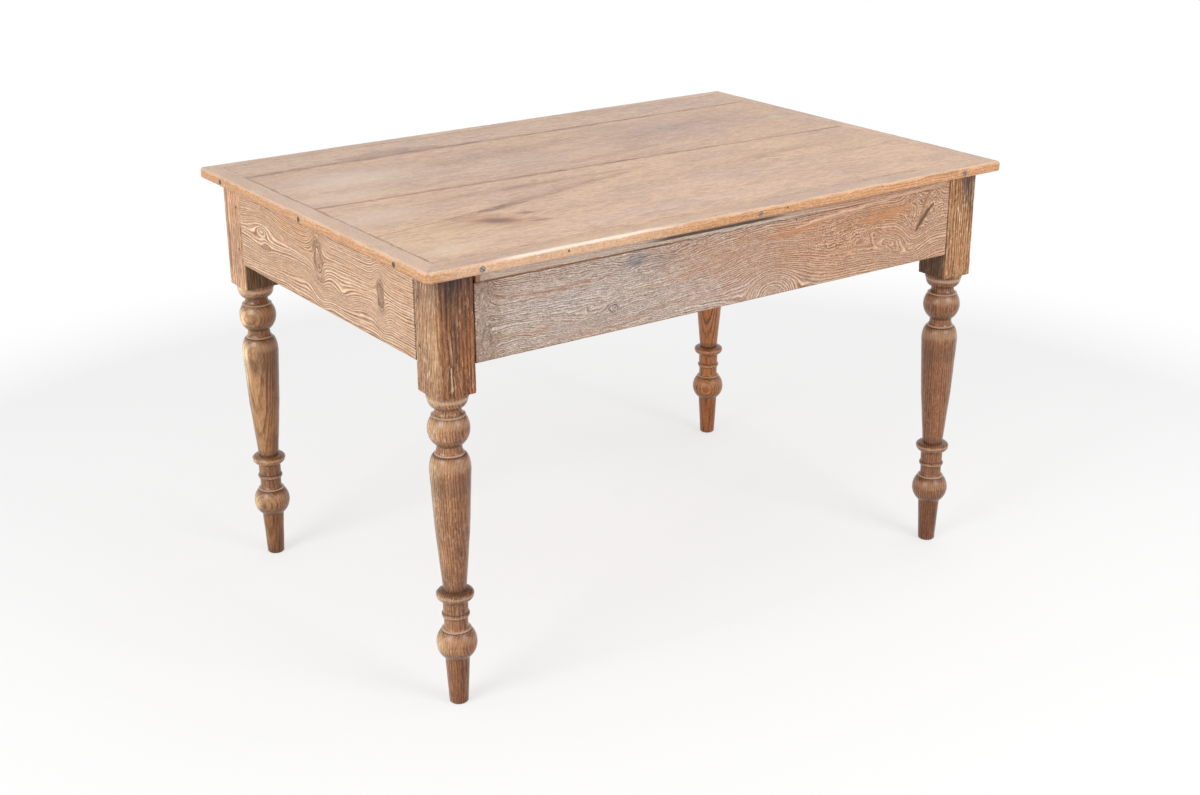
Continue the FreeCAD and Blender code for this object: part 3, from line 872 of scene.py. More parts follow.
borderLooks = {
    "border_front": {
        **borderWood, "seed": 41.0, "holes": [(-355, -420, 766, 2.6), (92, -420, 766, 2.2)],
        "patches": [toned(0.8, (0.74, 0.44, 0.22), (-250, -390), (380, 9))],
        "tints": edgeTints + [
            tint(0.50, (0.80, 0.58, 0.43), edgeFace, ("x", -60, -260), ("x", -610, -540),
                 ragged=8.0, streaky=0.3),
            # a painted highlight, the lamps' reflection, along the front arris over pale wear
            tint(0.80, (0.96, 0.84, 0.73), ("y", -413.5, -416.0), ("z", 770.0, 771.6),
                 ("x", -100, -250), ("x", -510, -440), ragged=3.0, streaky=0.2),
            tint(0.60, (0.74, 0.38, 0.18), edgeFace, ("x", 60, 330), ragged=5.0),
            tint(0.55, (0.30, 0.10, 0.04), edgeFace, ("x", 160, 330), ragged=5.0, years=0.9),
            tint(0.25, (0.27, 0.10, 0.04), edgeFace, ("x", 240, 400), ragged=5.0, streaky=1.0),
        ],
    },
    "border_back": {**borderWood, "seed": 47.0, "tints": edgeTints},
    "border_left_end": {
        **borderWood, "seed": 53.0, "second": (0.60, 0.405, 0.295), "early": (0.68, 0.465, 0.335),
        "speckShare": 0.20, "fibreShare": 0.35,
        "patches": [stained(0.7, jointStain, (-390, -575, 3), (395, -575, 3), streaky=0.1)],
        "tints": edgeTints + [
            tint(0.5, (0.56, 0.28, 0.11), edgeFace, ("y", 60, 240), ragged=5.0, streaky=0.7),
        ],
    },
    "border_right_end": {**borderWood, "seed": 59.0, "tints": edgeTints},
}

fieldFront, fieldBack = (top["fieldFront"],) * 2, (top["fieldBack"],) * 2
boards = {
    "top_board_front": (fieldFront, top["frontJoint"], top["beforeCrack"], frontBoardWood),
    "top_board_middle": (top["frontJoint"], top["backJoint"], 0, middleBoardWood),
    "top_board_back": (top["backJoint"], fieldBack, 0, backBoardWood),
}
for name, (boardFront, boardBack, beforeCrack, look) in boards.items():
    piece = topBoard(name + "_worn", boardFront, boardBack, beforeCrack)
    finishPiece(piece, woodMaterial(name, look), "top_wood", name)

for name, look in borderLooks.items():
    endways = name.endswith("end")
    side = -1 if "front" in name or "left" in name else 1
    holes = [(*edgePlace(share, side, endways), edgeScrew["dirt"])
             for share in edgeScrew["endShares" if endways else "frontShares"]]
    holes += look.get("holes", [])
    look = {**look, "axes": "yxz" if endways else "xyz", "holes": holes}
    piece = borderPiece(name, endways, side)
    piece.name = name + "_worn"
    finishPiece(piece, woodMaterial(name, look), "edge_wood", name)
print("top made")


# Aprons and the lath over the front one

apron = {
    "outerY": 389, "innerY": 367, "outerX": 579, "innerX": 557,
    "low": 603, "high": 755, "lathLow": 734,
    "shoulderX": 510, "shoulderY": 320, "lathGap": 3,
    "round": 1.6, "shut": 0.35, "gap": 0.2, "step": 6,
    "lathWear": {**wearing, "arris": 0.1 * mm, "chip": 0.5 * mm, "dents": 3},
}


def railPiece(name, along, across, heights, endways):
    # a board on edge, swept along its length
    edge, gap = apron["round"], apron["gap"]
    low, high = heights[0] + gap / 2, heights[1] - gap / 2
    inner, outer = sorted(across)
    shut = apron["shut"]
    lowEdge = shut if name.startswith("front_lath") else edge
    corners = [(inner, low, lowEdge), (outer, low, lowEdge), (outer, high, shut), (inner, high, shut)]
    section = roundedSection(corners, 5, 0.3)
    rings = []
    for place in spaced(along[0] + gap, along[1] - gap, apron["step"]):
        if endways:
            rings.append([Vector((a, place, b)) * mm for a, b in section])
        else:
            rings.append([Vector((place, a, b)) * mm for a, b in section])
    piece = sweptMesh(name, rings)
    wear = apron["lathWear"] if name.startswith("front_lath") else wearing
    wearDown(piece, wear, len(name) + int(inner))
    return piece


creamStreak = streak(0.85, (0.80, 0.64, 0.53), (140, 715, 2.5), (220, 726, 4), (320, 732, 5),
                     (500, 743, 5), streaky=0.2)
orangeEnd = tint(0.60, (0.60, 0.32, 0.175), ("x", 40, 280), blend="COLOR")
frontApronWood = {
    "axes": "xzy", "seed": 61.0, "heart": (0.15, -0.20), "broken": 0.9, "ringWidth": 3.0 * mm,
    "wander": 11 * mm, "wanderLength": 0.20, "wanderHeight": 0.07, "ripple": 5.2 * mm,
    "rippleLength": 0.032, "rippleHeight": 0.018, "early": (0.46, 0.325, 0.255),
    "late": (0.17, 0.080, 0.044), "lateShare": 1.0, "uneven": 1.2, "second": (0.47, 0.255, 0.155),
    "secondShare": 0.95, "pore": (0.80, 0.680, 0.585), "poreShare": 0.90, "paleShare": 0.46,
    "fleck": (0.86, 0.77, 0.68), "fleckShare": 0.50, "fibreShare": 0.50, "fibreDraw": 44.0,
    "poreDraw": 95.0, "dirt": (0.17, 0.12, 0.095), "dirtShare": 0.30, "roughness": 0.66,
    "relief": 0.45 * mm, "calm": (-140, 120), "widening": 0.40, "fromHeart": 0.553, "poreFine": 560.0,
    "rippleDetail": 3.0, "face": -0.389, "speckShare": 0.40, "speckDraw": 300.0, "speckFine": 380.0,
    "paleSpeck": (0.86, 0.76, 0.67), "darkSpeck": (0.20, 0.11, 0.07),
    "curls": [
        curl((445, 700), (66, 50), 2.2),
        curl((250, 682), (96, 38), 2.0),
        curl((-497, 668), (26, 110), 0.8),
    ],
    "eyes": [eye((350, 700), (60, 26), -16), eye((-300, 640), (120, 40), 26)],
    "knots": [
        knot((92, 602), (60, 46), dark=0.0, rings=14, wobble=0.07, part=0.9),
        knot((362, 652), (58, 17), dark=0.0, rings=6, wobble=0.85, turn=-20, part=0.7),
        knot((422, 702), (15, 30), dark=0.0, rings=5, wobble=0.55, turn=8),
        knot((470, 706), (9, 22), dark=0.0, rings=3, wobble=0.6, turn=-20),
        knot((-493, 690), (9, 38), dark=0.0, rings=3, wobble=0.6),
        knot((-490, 628), (9, 26), dark=0.0, rings=3, wobble=0.6),
        knot((-248, 644), (9, 5), dark=0.5, rings=2),
    ],
    "patches": [
        toned(0.50, (0.48, 0.43, 0.40), (-310, 670), (260, 90)),
        toned(0.40, (0.47, 0.41, 0.38), (-80, 650), (140, 60)),
        spot(0.90, (0.19, 0.18, 0.20), (-204, 716), (26, 15), streaky=0.3),
        spot(0.55, (0.28, 0.24, 0.24), (-150, 704), (46, 14), streaky=0.5),
        toned(0.95, (0.66, 0.26, 0.10), (340, 706), (110, 24), streaky=0.3),
        toned(0.80, (0.60, 0.29, 0.15), (120, 714), (150, 20), streaky=0.3),
        toned(0.75, (0.60, 0.31, 0.175), (150, 670), (300, 70), streaky=0.3),
        toned(0.60, (0.60, 0.33, 0.20), (-60, 700), (120, 40), streaky=0.5),
        streak(0.7, (0.36, 0.16, 0.085), (-480, 706, 4), (-380, 694, 9), (-250, 702, 4)),
        streak(0.7, (0.38, 0.17, 0.09), (-500, 640, 3), (-420, 634, 7), (-330, 640, 3)),
        streak(0.7, (0.40, 0.18, 0.10), (-190, 664, 3), (-60, 680, 8), (60, 700, 3)),
        streak(0.65, (0.38, 0.17, 0.09), (-230, 622, 3), (-120, 630, 6), (-20, 622, 3)),
        streak(0.75, (0.56, 0.22, 0.09), (80, 708, 4), (150, 711, 9), (215, 722, 4), streaky=0.4),
        streak(0.85, (0.60, 0.22, 0.075), (286, 700, 5), (350, 704, 13), (410, 712, 6), streaky=0.4),
        streak(0.6, (0.50, 0.20, 0.085), (330, 676, 3), (390, 668, 7), (440, 660, 4)),
        streak(0.6, (0.48, 0.21, 0.10), (180, 664, 3), (250, 656, 6), (330, 660, 3)),
        creamStreak,
        streak(0.85, (0.50, 0.25, 0.12), (428, 660, 3), (441, 680, 9), (451, 700, 15), (456, 722, 10),
               streaky=0.5, ragged=1.4),
        streak(1.0, (0.09, 0.05, 0.03), (431, 664, 4), (444, 683, 9), (459, 699, 6), (472, 709, 4),
               streaky=0.1, ragged=1.1),
        streak(0.80, (0.22, 0.12, 0.065), (440, 684, 4), (446, 704, 6), (452, 722, 5), (462, 733, 5),
               streaky=0.4, ragged=1.6),
        streak(0.7, (0.28, 0.20, 0.16), (398, 712, 4), (412, 724, 6), (432, 729, 4), ragged=1.4),
        streak(0.5, (0.24, 0.20, 0.20), (150, 630, 5), (190, 604, 6)),
        spot(0.45, limeWhite, (-497, 668), (13, 110), streaky=0.5),
    ],
    "tints": [
        orangeEnd,
        shaded(0.8, (0.62, 0.54, 0.48), ("x", -440, -500)),
        shaded(0.6, (0.66, 0.55, 0.48), ("z", 606.5, 604.0)),
        tint(0.75, (0.18, 0.09, 0.05), ("z", 731.2, 732.6), ("x", -60, -160)),
    ],
    "holes": [(140, -389, 731, 2.2)],
}
lathWood = {
    **frontApronWood, "curls": [], "holes": [], "ripple": 3.0 * mm,
    "tints": [
        # painted light: the lath's upper strip lightened where the top's overhang shades it
        tint(0.40, (0.86, 0.73, 0.62), ("z", 735.4, 737.0), ("x", 520, 60)),
        # a dark line under the top's edge: painted shade of a gap, with dirt in it
        tint(0.88, (0.06, 0.04, 0.03), ("z", 740.0, 741.0), ("z", 748.0, 744.0), ("x", -200, -130),
             ("x", 150, 60), ragged=3.0),
        orangeEnd,
        tint(0.8, (0.30, 0.13, 0.06), ("x", -497, -500)),
    ],
    "patches": [
        streak(0.85, (0.42, 0.20, 0.09), (-520, 735.0, 2.4), (-250, 735.0, 2.0), (-100, 734.5, 1.2),
               streaky=0.1),
        streak(0.7, (0.30, 0.14, 0.07), (-520, 739.0, 1.2), (-300, 739.0, 1.2), streaky=0.2),
        creamStreak,
    ],
}
backApronWood = {
    **frontApronWood, "seed": 71.0, "heart": (0.15, 0.20), "face": 0.389, "tints": [],
    "curls": [curl((-330, 660), (110, 50), 1.2)], "holes": [],
    "eyes": [eye((-150, 700), (150, 46), 60), eye((300, 640), (90, 40), -44)],
    "knots": [knot((120, 668), (18, 9), dark=0.6)],
    "patches": [
        toned(0.6, (0.56, 0.36, 0.23), (-300, 670), (200, 70)),
        toned(0.6, (0.48, 0.42, 0.39), (380, 690), (130, 50)),
    ],
}
endApronWood = {
    "axes": "yzx", "seed": 83.0, "heart": (0.20, -0.36), "face": -0.579, "ringWidth": 3.8 * mm,
    "wander": 14 * mm, "wanderLength": 0.26, "wanderHeight": 0.09, "broken": 0.5, "ripple": 1.3 * mm,
    "rippleLength": 0.045, "rippleHeight": 0.022, "early": (0.58, 0.328, 0.187),
    "late": (0.21, 0.085, 0.037), "lateShare": 1.0, "uneven": 1.1, "second": (0.60, 0.37, 0.235),
    "secondShare": 0.6, "pore": (0.90, 0.71, 0.53), "poreShare": 0.90, "paleShare": 0.40,
    "fleck": (0.90, 0.73, 0.55), "fleckShare": 0.45, "fibreShare": 0.50, "fibreDraw": 24.0,
    "poreDraw": 40.0, "dirt": (0.26, 0.14, 0.085), "dirtShare": 0.20, "roughness": 0.60,
    "relief": 0.5 * mm, "poreFine": 520.0, "speckShare": 0.22, "speckDraw": 170.0, "speckFine": 230.0,
    "paleSpeck": (0.88, 0.70, 0.52), "darkSpeck": (0.26, 0.13, 0.075),
    "eyes": [
        eye((232, 688), (40, 17), -15, part=0.8),
        eye((-80, 652), (60, 20), 28),
        eye((60, 640), (120, 26), -24),
        eye((-150, 640), (90, 22), -16),
    ],
    "knots": [
        knot((216, 662), (13, 6), dark=0.9, rings=3),
        knot((8, 692), (34, 17), dark=1.6, hollow=0.8, turn=84, rings=5, wobble=0.8),
        knot((-212, 682), (26, 12), dark=1.8, hollow=0.7, turn=84, rings=4, wobble=0.8),
        knot((224, 733), (5, 3.5), dark=0.9, rings=1),
    ],
    "knotColour": (0.15, 0.075, 0.045),
    "patches": [
        spot(0.8, (0.75, 0.62, 0.54), (8, 694), (24, 46), blend="MULTIPLY"),
        spot(0.8, (0.75, 0.62, 0.54), (-212, 684), (16, 36), blend="MULTIPLY"),
        spot(0.7, (0.80, 0.70, 0.62), (-300, 650), (26, 100), blend="MULTIPLY"),
        toned(0.6, (0.66, 0.34, 0.16), (100, 722), (140, 18)),
        stained(0.6, (0.66, 0.55, 0.48), (-320, 606, 5), (320, 606, 5)),
    ],
}
farEndWood = {
    **endApronWood, "seed": 89.0, "heart": (0.20, 0.36), "face": 0.579,
    "eyes": [eye((-120, 690), (80, 24), 40), eye((150, 640), (100, 30), -32)],
    "knots": [knot((40, 700), (20, 11), dark=0.7)], "patches": [],
}

long = (-apron["shoulderX"], apron["shoulderX"])
short = (-apron["shoulderY"], apron["shoulderY"])
lathLong = (long[0] + apron["lathGap"], long[1])
frontDepth, backDepth = (-apron["outerY"], -apron["innerY"]), (apron["innerY"], apron["outerY"])
leftDepth, rightDepth = (-apron["outerX"], -apron["innerX"]), (apron["innerX"], apron["outerX"])
full = (apron["low"], apron["high"])
rails = {
    "apron_front": (long, frontDepth, (apron["low"], apron["lathLow"]), frontApronWood),
    "front_lath": (lathLong, frontDepth, (apron["lathLow"], apron["high"]), lathWood),
    "apron_back": (long, backDepth, full, backApronWood),
    "apron_left_end": (short, leftDepth, full, endApronWood),
    "apron_right_end": (short, rightDepth, full, farEndWood),
}
for name, (along, across, heights, look) in rails.items():
    endways = name.endswith("end")
    piece = railPiece(name + "_worn", along, across, heights, endways)
    slotName = "end_apron_wood" if endways else "front_apron_wood"
    finishPiece(piece, woodMaterial(name, look), slotName, name)
print("aprons made")


# Legs: a square block over a turned part, the turning by Geometry Nodes

leg = {
    "x": 545, "y": 355, "square": 70, "blockRound": 4, "shoulder": 555, "high": 755,
    "sides": 72, "rings": 860, "sunk": 2.0, "step": 5,
    "hollowWide": 22.0, "hollowHigh": 30.0, "swingHigh": 160.0,           # of the wear on the turning
    "lowArris": [(0.9, 0.0), (0.25, 0.25), (0.0, 0.9)], "lowRing": 1.6,   # (inset, rise), then the first ring
    "innerFrom": 32.5, "innerFull": 34,                                   # where its inner faces begin
    "wear": {**wearing, "hollows": 11.0, "chips": 50.0, "arris": 1.5 * mm, "chip": 2.4 * mm, "dents": 10},
}
# the turner's story stick, from the floor up: heights and radii in mm
turning = {
    "Foot end radius": 13.8, "Foot end height": 2.5, "Foot floor radius": 16.3,
    "Foot radius": 20.8, "Foot height": 86.5,
    "Lower ball radius": 34.4, "Lower ball middle": 113.1, "Lower ball top": 137.6,
    "Lower fillet radius": 25.2, "Lower fillet top": 139.1,
    "Lower neck radius": 20.2, "Lower cove top": 147.6, "Lower neck top": 160.3,
    "Bead radius": 23.6, "Bead middle": 164.6, "Bead top": 168.9,
    "Ring neck radius": 21.2, "Ring neck top": 191.2,
    "Ring radius": 31.8, "Ring middle": 202.2, "Ring top": 209.7,
    "Taper foot radius": 19.4, "Taper top radius": 34.2, "Taper top": 422.9, "Taper swell": 1.9,
    "Urn neck radius": 24.2, "Urn top": 450.9,
    "Middle fillet radius": 25.2, "Middle fillet top": 452.4,
    "Middle neck radius": 20.8, "Middle cove top": 465.9,
    "Upper ball radius": 34.9, "Upper ball middle": 493.9, "Upper ball top": 516.0,
    "Upper fillet radius": 28.0, "Upper fillet top": 517.5,
    "Upper neck radius": 21.0, "Upper cove top": 530.5,
    "Collar seat radius": 22.2, "Collar radius": 33.4, "Collar top": 548.5, "Band radius": 34.6,
}


def newGeometryTree(name, inputs):
    # a tree with one geometry in and out, and a named number for each size
    group = bpy.data.node_groups.new(name, "GeometryNodeTree")
    group.interface.new_socket("Geometry", in_out="INPUT", socket_type="NodeSocketGeometry")
    for label, (kind, value) in inputs.items():
        socket = group.interface.new_socket(label, in_out="INPUT", socket_type=kind)
        if kind != "NodeSocketMaterial":
            socket.default_value = value
    group.interface.new_socket("Geometry", in_out="OUTPUT", socket_type="NodeSocketGeometry")
    tree = Tree(group)
    entry = tree.node("NodeGroupInput")
    return group, tree, {socket.name: Value(tree, socket) for socket in entry.outputs if socket.name}


def bakedByNodes(name, group, base, values):
    # runs a tree on a base mesh, and returns what it made as a plain piece
    carrier = inScene(name + "_carrier", base)
    modifier = carrier.modifiers.new("shape", "NODES")
    modifier.node_group = group
    for socket in group.interface.items_tree:
        if socket.in_out == "INPUT" and socket.name in values:
            modifier[socket.identifier] = values[socket.name]
    bpy.context.view_layer.update()
    graph = bpy.context.evaluated_depsgraph_get()
    mesh = bpy.data.meshes.new_from_object(carrier.evaluated_get(graph))
    carrier.modifiers.clear()
    bpy.data.objects.remove(carrier)
    return inScene(name, mesh)


def turnedTree():
    inputs = {label: ("NodeSocketFloat", size) for label, size in turning.items()}
    inputs.update({
        "Length": ("NodeSocketFloat", 557.0), "Sides": ("NodeSocketInt", 72), "Rings": ("NodeSocketInt", 800),
        "Out of round": ("NodeSocketFloat", 0.25), "Wear": ("NodeSocketFloat", 0.5),
        "Seed": ("NodeSocketFloat", 1.0), "Place": ("NodeSocketVector", (0.0, 0.0, 0.0)),
        "Wood": ("NodeSocketMaterial", None),
    })
    group, tree, size = newGeometryTree("turned leg", inputs)
    rod = tree.add("GeometryNodeMeshCylinder", {"fill_type": "NGON"},
                   {"Vertices": size["Sides"], "Side Segments": size["Rings"], "Radius": 1.0, "Depth": 1.0})
    x, y, z = tree.parts(tree.add("GeometryNodeInputPosition"))
    height = (z + 0.5) * size["Length"]

    def sizeOf(key):
        # an input's name, or a size that is worked out already
        return size[key] if isinstance(key, str) else key

    def straight(lowHeight, highHeight, lowRadius, highRadius):
        low, high, first, last = map(sizeOf, (lowHeight, highHeight, lowRadius, highRadius))
        return first + (last - first) * ((height - low) / (high - low))

    def quarter(upright, uprightHeight, level, levelHeight):
        # quarter ellipse from an upright end to a level end
        share = (height - size[uprightHeight]) / (size[levelHeight] - size[uprightHeight])
        return size[level] + (size[upright] - size[level]) * (1.0 - share * share).root()

    def cove(place):
        return quarter(place + " neck radius", place + " cove top",
                       place + " fillet radius", place + " fillet top")

    def ball(place):
        radius = size[place + " radius"]
        return (radius * radius - (height - size[place + " middle"]) ** 2.0).root()

    taperMiddle = (size["Ring top"] + size["Taper top"]) * 0.5
    taperMiddleRadius = (size["Taper foot radius"] + size["Taper top radius"]) * 0.5 + size["Taper swell"]
    # each stretch of the leg up to a height, from the floor up
    stretches = [
        ("Foot end height", straight(0.0, "Foot end height", "Foot end radius", "Foot floor radius")),
        ("Foot height", straight("Foot end height", "Foot height", "Foot floor radius", "Foot radius")),
        ("Lower ball top", ball("Lower ball")),
        ("Lower fillet top", size["Lower fillet radius"]),
        ("Lower cove top", cove("Lower")),
        ("Lower neck top", size["Lower neck radius"]),
        ("Bead middle", quarter("Bead radius", "Bead middle", "Lower neck radius", "Lower neck top")),
        ("Bead top", quarter("Bead radius", "Bead middle", "Ring neck radius", "Bead top")),
        ("Ring neck top", size["Ring neck radius"]),
        ("Ring middle", quarter("Ring radius", "Ring middle", "Ring neck radius", "Ring neck top")),
        ("Ring top", quarter("Ring radius", "Ring middle", "Taper foot radius", "Ring top")),
        (taperMiddle, straight("Ring top", taperMiddle, "Taper foot radius", taperMiddleRadius)),
        ("Taper top", straight(taperMiddle, "Taper top", taperMiddleRadius, "Taper top radius")),
        ("Urn top", quarter("Taper top radius", "Taper top", "Urn neck radius", "Urn top")),
        ("Middle fillet top", size["Middle fillet radius"]),
        ("Middle cove top", cove("Middle")),
        ("Upper ball top", ball("Upper ball")),
        ("Upper fillet top", size["Upper fillet radius"]),
        ("Upper cove top", cove("Upper")),
        ("Collar top", quarter("Collar radius", "Collar top", "Collar seat radius", "Upper cove top")),
    ]
    radius = size["Band radius"]
    for upTo, stretch in reversed(stretches):
        above = height > sizeOf(upTo)
        radius = radius * above + stretch * (1.0 - above)

    # worn a little everywhere, and not quite round
    wide = leg["hollowWide"]
    hollow = tree.cloud(x * radius / wide, y * radius / wide, height / leg["hollowHigh"], size["Seed"], 3.0)
    swing = tree.cloud(x * 0.7, y * 0.7, height / leg["swingHigh"], size["Seed"] + 5.0, 0.0)
    radius = radius - hollow.smooth(0.35, 0.85) * size["Wear"] - swing * size["Out of round"]
    place = tree.vector(x * radius * mm, y * radius * mm, height * mm)
    place = place.moved("ADD", size["Place"])
    shaped = tree.add("GeometryNodeSetPosition", None, {"Geometry": rod, "Position": place})
    whole = tree.add("GeometryNodeRealizeInstances", None, [shaped])
    whole = tree.add("GeometryNodeSetMaterial", None, {"Geometry": whole, "Material": size["Wood"]})
    tree.node("NodeGroupOutput", None, [whole])
    return group


def blockMesh(name, x, y, seed):
    half, edge = leg["square"] / 2, leg["blockRound"]
    corners = [(a * half, b * half, edge) for a, b in ((-1, -1), (1, -1), (1, 1), (-1, 1))]
    section = roundedSection(corners, 5)
    rings = []
    low, high = leg["shoulder"], leg["high"]
    for inset, rise in leg["lowArris"]:
        shrink = 1 - inset / half
        rings.append([Vector((x + a * shrink, y + b * shrink, low + rise)) * mm for a, b in section])
    for z in spaced(low + leg["lowRing"], high, leg["step"]):
        rings.append([Vector((x + a, y + b, z)) * mm for a, b in section])
    piece = sweptMesh(name, rings)
    wearDown(piece, leg["wear"], seed)
    return piece


def joined(pieces):
    # several closed meshes as one piece
    shape = bmesh.new()
    for piece in pieces:
        shape.from_mesh(piece.data)
    shape.to_mesh(pieces[0].data)
    shape.free()
    for piece in pieces[1:]:
        bpy.data.objects.remove(piece)
    return pieces[0]


darkCorner = (0.08, 0.045, 0.03)
brownCorner = (0.10, 0.055, 0.035)
# colour of the bands of painted shade on the turning
paintedShadeBrown = (0.10, 0.045, 0.02)
paleFillet = (0.66, 0.46, 0.31)
# colour of the bands of painted light on the turning
paintedLightTan = (0.54, 0.34, 0.20)
turnedPart = ("z", 554, 553)
legWood = {
    "axes": "zxy", "ringWidth": 4.4 * mm, "wander": 6 * mm, "wanderLength": 0.26, "wanderHeight": 0.08,
    "ripple": 0.8 * mm, "blotchDraw": 9.0, "blotchFine": 20.0, "turnedCoat": 0.42,
    "early": (0.268, 0.104, 0.041), "late": (0.062, 0.022, 0.009), "lateShare": 1.0, "speckShare": 0.26,
    "speckDraw": 140.0, "speckFine": 330.0, "paleSpeck": (0.58, 0.35, 0.20),
    "darkSpeck": (0.070, 0.030, 0.017), "second": (0.155, 0.053, 0.021), "secondShare": 0.8,
    "pore": (0.45, 0.222, 0.104), "poreShare": 0.66, "paleShare": 0.50, "fleck": (0.74, 0.53, 0.36),
    "fleckShare": 0.60, "fibreShare": 0.50, "fibreDraw": 24.0, "poreDraw": 50.0,
    "dirt": (0.045, 0.024, 0.017), "dirtShare": 0.40, "roughness": 0.52, "specular": 0.24,
    "relief": 0.28 * mm, "turnedBelow": 0.554, "turnedGloss": 0.24, "turnedLess": 0.62,
    "endGrainShare": 0.45,
    "rings": [
        (87.0, 1.6, 0.75, darkCorner), (137.0, 1.6, 0.7, darkCorner),
        (139.0, 1.9, 0.60, paleFillet), (160.3, 1.6, 0.6, brownCorner),
        (164.6, 1.8, 0.4, (0.62, 0.44, 0.29)), (169.2, 1.8, 0.6, brownCorner),
        (190.5, 2.2, 0.5, brownCorner), (202.2, 2.6, 0.4, (0.60, 0.42, 0.28)),
        (210.5, 2.6, 0.6, brownCorner), (450.2, 1.8, 0.7, darkCorner),
        (452.2, 1.9, 0.60, paleFillet), (466.5, 2.2, 0.6, brownCorner),
        (515.6, 1.6, 0.7, darkCorner), (517.3, 1.9, 0.60, paleFillet),
        (531.0, 2.2, 0.6, brownCorner), (546.0, 5.5, 0.55, (0.62, 0.42, 0.28)),
        # from here on: dirt at the foot's end, then broad bands of painted shade on the lower half of each
        # ball, on the taper just above the ring and on its upper part, and of painted light on the upper half
        # of each ball and on the urn
        (1.5, 3.5, 0.6, (0.10, 0.06, 0.04)), (96.0, 11.0, 0.45, paintedShadeBrown),
        (124.0, 11.0, 0.32, (0.52, 0.31, 0.175)), (215.0, 9.0, 0.35, paintedShadeBrown),
        (400.0, 24.0, 0.34, paintedShadeBrown), (437.0, 14.0, 0.36, paintedLightTan),
        (474.0, 11.0, 0.42, paintedShadeBrown), (506.0, 11.0, 0.34, paintedLightTan),
    ],
}
darkStain = (0.025, 0.022, 0.028)
# painted shade for the legs' inner faces
innerPaintedShade = (0.45, 0.55, 0.60)
footShade = (0.66, 0.52, 0.33)
warmTurning = (1.02, 0.95, 0.86)
paleAndLitSide = (1.75, 2.25, 2.6)       # lighter than the rest of the leg by these factors: paler wood and painted light on the block's left face, and painted light on the turning's left side
legLooks = {
    "leg_front_left": {
        **legWood, "seed": 101.0, "heart": (-0.66, -0.24),
        "patches": [
            spot(0.80, darkStain, (746, -545), (64, 46), streaky=0.1),
            spot(0.45, darkStain, (690, -532), (50, 14)),
            spot(0.5, darkStain, (640, -548), (60, 5)),
            streak(0.85, (0.74, 0.58, 0.44), (566, -553, 1.2), (584, -555, 2.4), (604, -557, 1.2),
                   streaky=0.1, ragged=1.0),
            streak(0.6, (0.72, 0.54, 0.40), (608, -555, 1.0), (640, -557, 1.6), (660, -555, 0.8),
                   streaky=0.3),
        ],
        "tints": [
            # the block's left face: paler wood, with painted light from the left
            shaded(0.85, paleAndLitSide, ("x", -571, -579)),
            # painted light on the left side of the turning
            shaded(0.58, paleAndLitSide, ("x", -545, -570), turnedPart),
            # painted shade on the right side of the turning
            shaded(0.75, (0.78, 0.67, 0.54), ("x", -552, -524), turnedPart),
            shaded(0.5, (0.86, 0.82, 0.78), ("y", -384, -389), ("z", 550, 560)),
            shaded(0.35, (1.25, 0.95, 0.8), ("x", -545, -525), ("y", -384, -389)),
        ],
    },
    "leg_front_right": {
        **legWood, "seed": 107.0, "heart": (0.36, -0.20),
        "patches": [
            spot(0.90, darkStain, (735, 562), (55, 20), streaky=0.3),
            spot(0.35, (0.62, 0.46, 0.33), (692, 552), (4, 9)),
        ],
        "tints": [shaded(0.75, (1.7, 2.0, 2.1), ("y", -384, -389), ("z", 550, 560))],
    },
    "leg_back_left": {
        **legWood, "seed": 113.0, "heart": (-0.46, 0.42), "early": (0.345, 0.148, 0.056),
        "pore": (0.42, 0.21, 0.10), "poreShare": 0.45, "fleckShare": 0.30, "speckShare": 0.14,
        "tints": [
            # the block's left face: paler wood, with painted light from the left
            shaded(0.95, (2.5, 3.3, 4.4), ("x", -573, -579)),
            # painted light on the left side of the turning
            shaded(0.5, (1.78, 2.5, 3.0), ("x", -545, -570), turnedPart),
        ],
    },
    "leg_back_right": {
        **legWood, "seed": 127.0, "heart": (0.38, 0.20), "early": (0.53, 0.195, 0.050),
        "second": (0.42, 0.145, 0.036), "pore": (0.60, 0.28, 0.10),
    },
}
turnedGroup = turnedTree()
emptyBase = bpy.data.meshes.new("empty base")
for name, look in legLooks.items():
    sideX, sideY = -1 if "left" in name else 1, -1 if "front" in name else 1
    x, y = sideX * leg["x"], sideY * leg["y"]
    # the block's two inner faces, under the aprons, get painted shade
    inner = [(axis, middle - side * leg["innerFrom"], middle - side * leg["innerFull"])
             for axis, middle, side in (("x", x, sideX), ("y", y, sideY))]
    shades = [shaded(0.85, innerPaintedShade, face, ("z", 553, 556)) for face in inner]
    shades += [shaded(0.8, footShade, ("z", 96, 80)), shaded(1.0, warmTurning, turnedPart)]
    material = woodMaterial(name, {**look, "tints": look.get("tints", []) + shades})
    values = {"Length": leg["shoulder"] + leg["sunk"], "Sides": leg["sides"], "Rings": leg["rings"],
              "Seed": look["seed"], "Place": (x * mm, y * mm, 0.0), "Wood": material}
    turned = bakedByNodes(name + "_turned", turnedGroup, emptyBase, values)
    block = blockMesh(name + "_worn", x, y, int(look["seed"]))
    finishPiece(joined([block, turned]), material, "leg_wood", name)
print("legs made")


# Screws and pegs: one of each, set out on points by Geometry Nodes

def pointMesh(name, points):
    # a vertex for each copy, with the way it faces
    mesh = bpy.data.meshes.new(name)
    mesh.from_pydata([Vector(place) * mm for place, facing in points], [], [])
    facings = mesh.attributes.new("facing", "FLOAT_VECTOR", "POINT")
    facings.data.foreach_set("vector", [number for place, facing in points for number in facing])
    return mesh


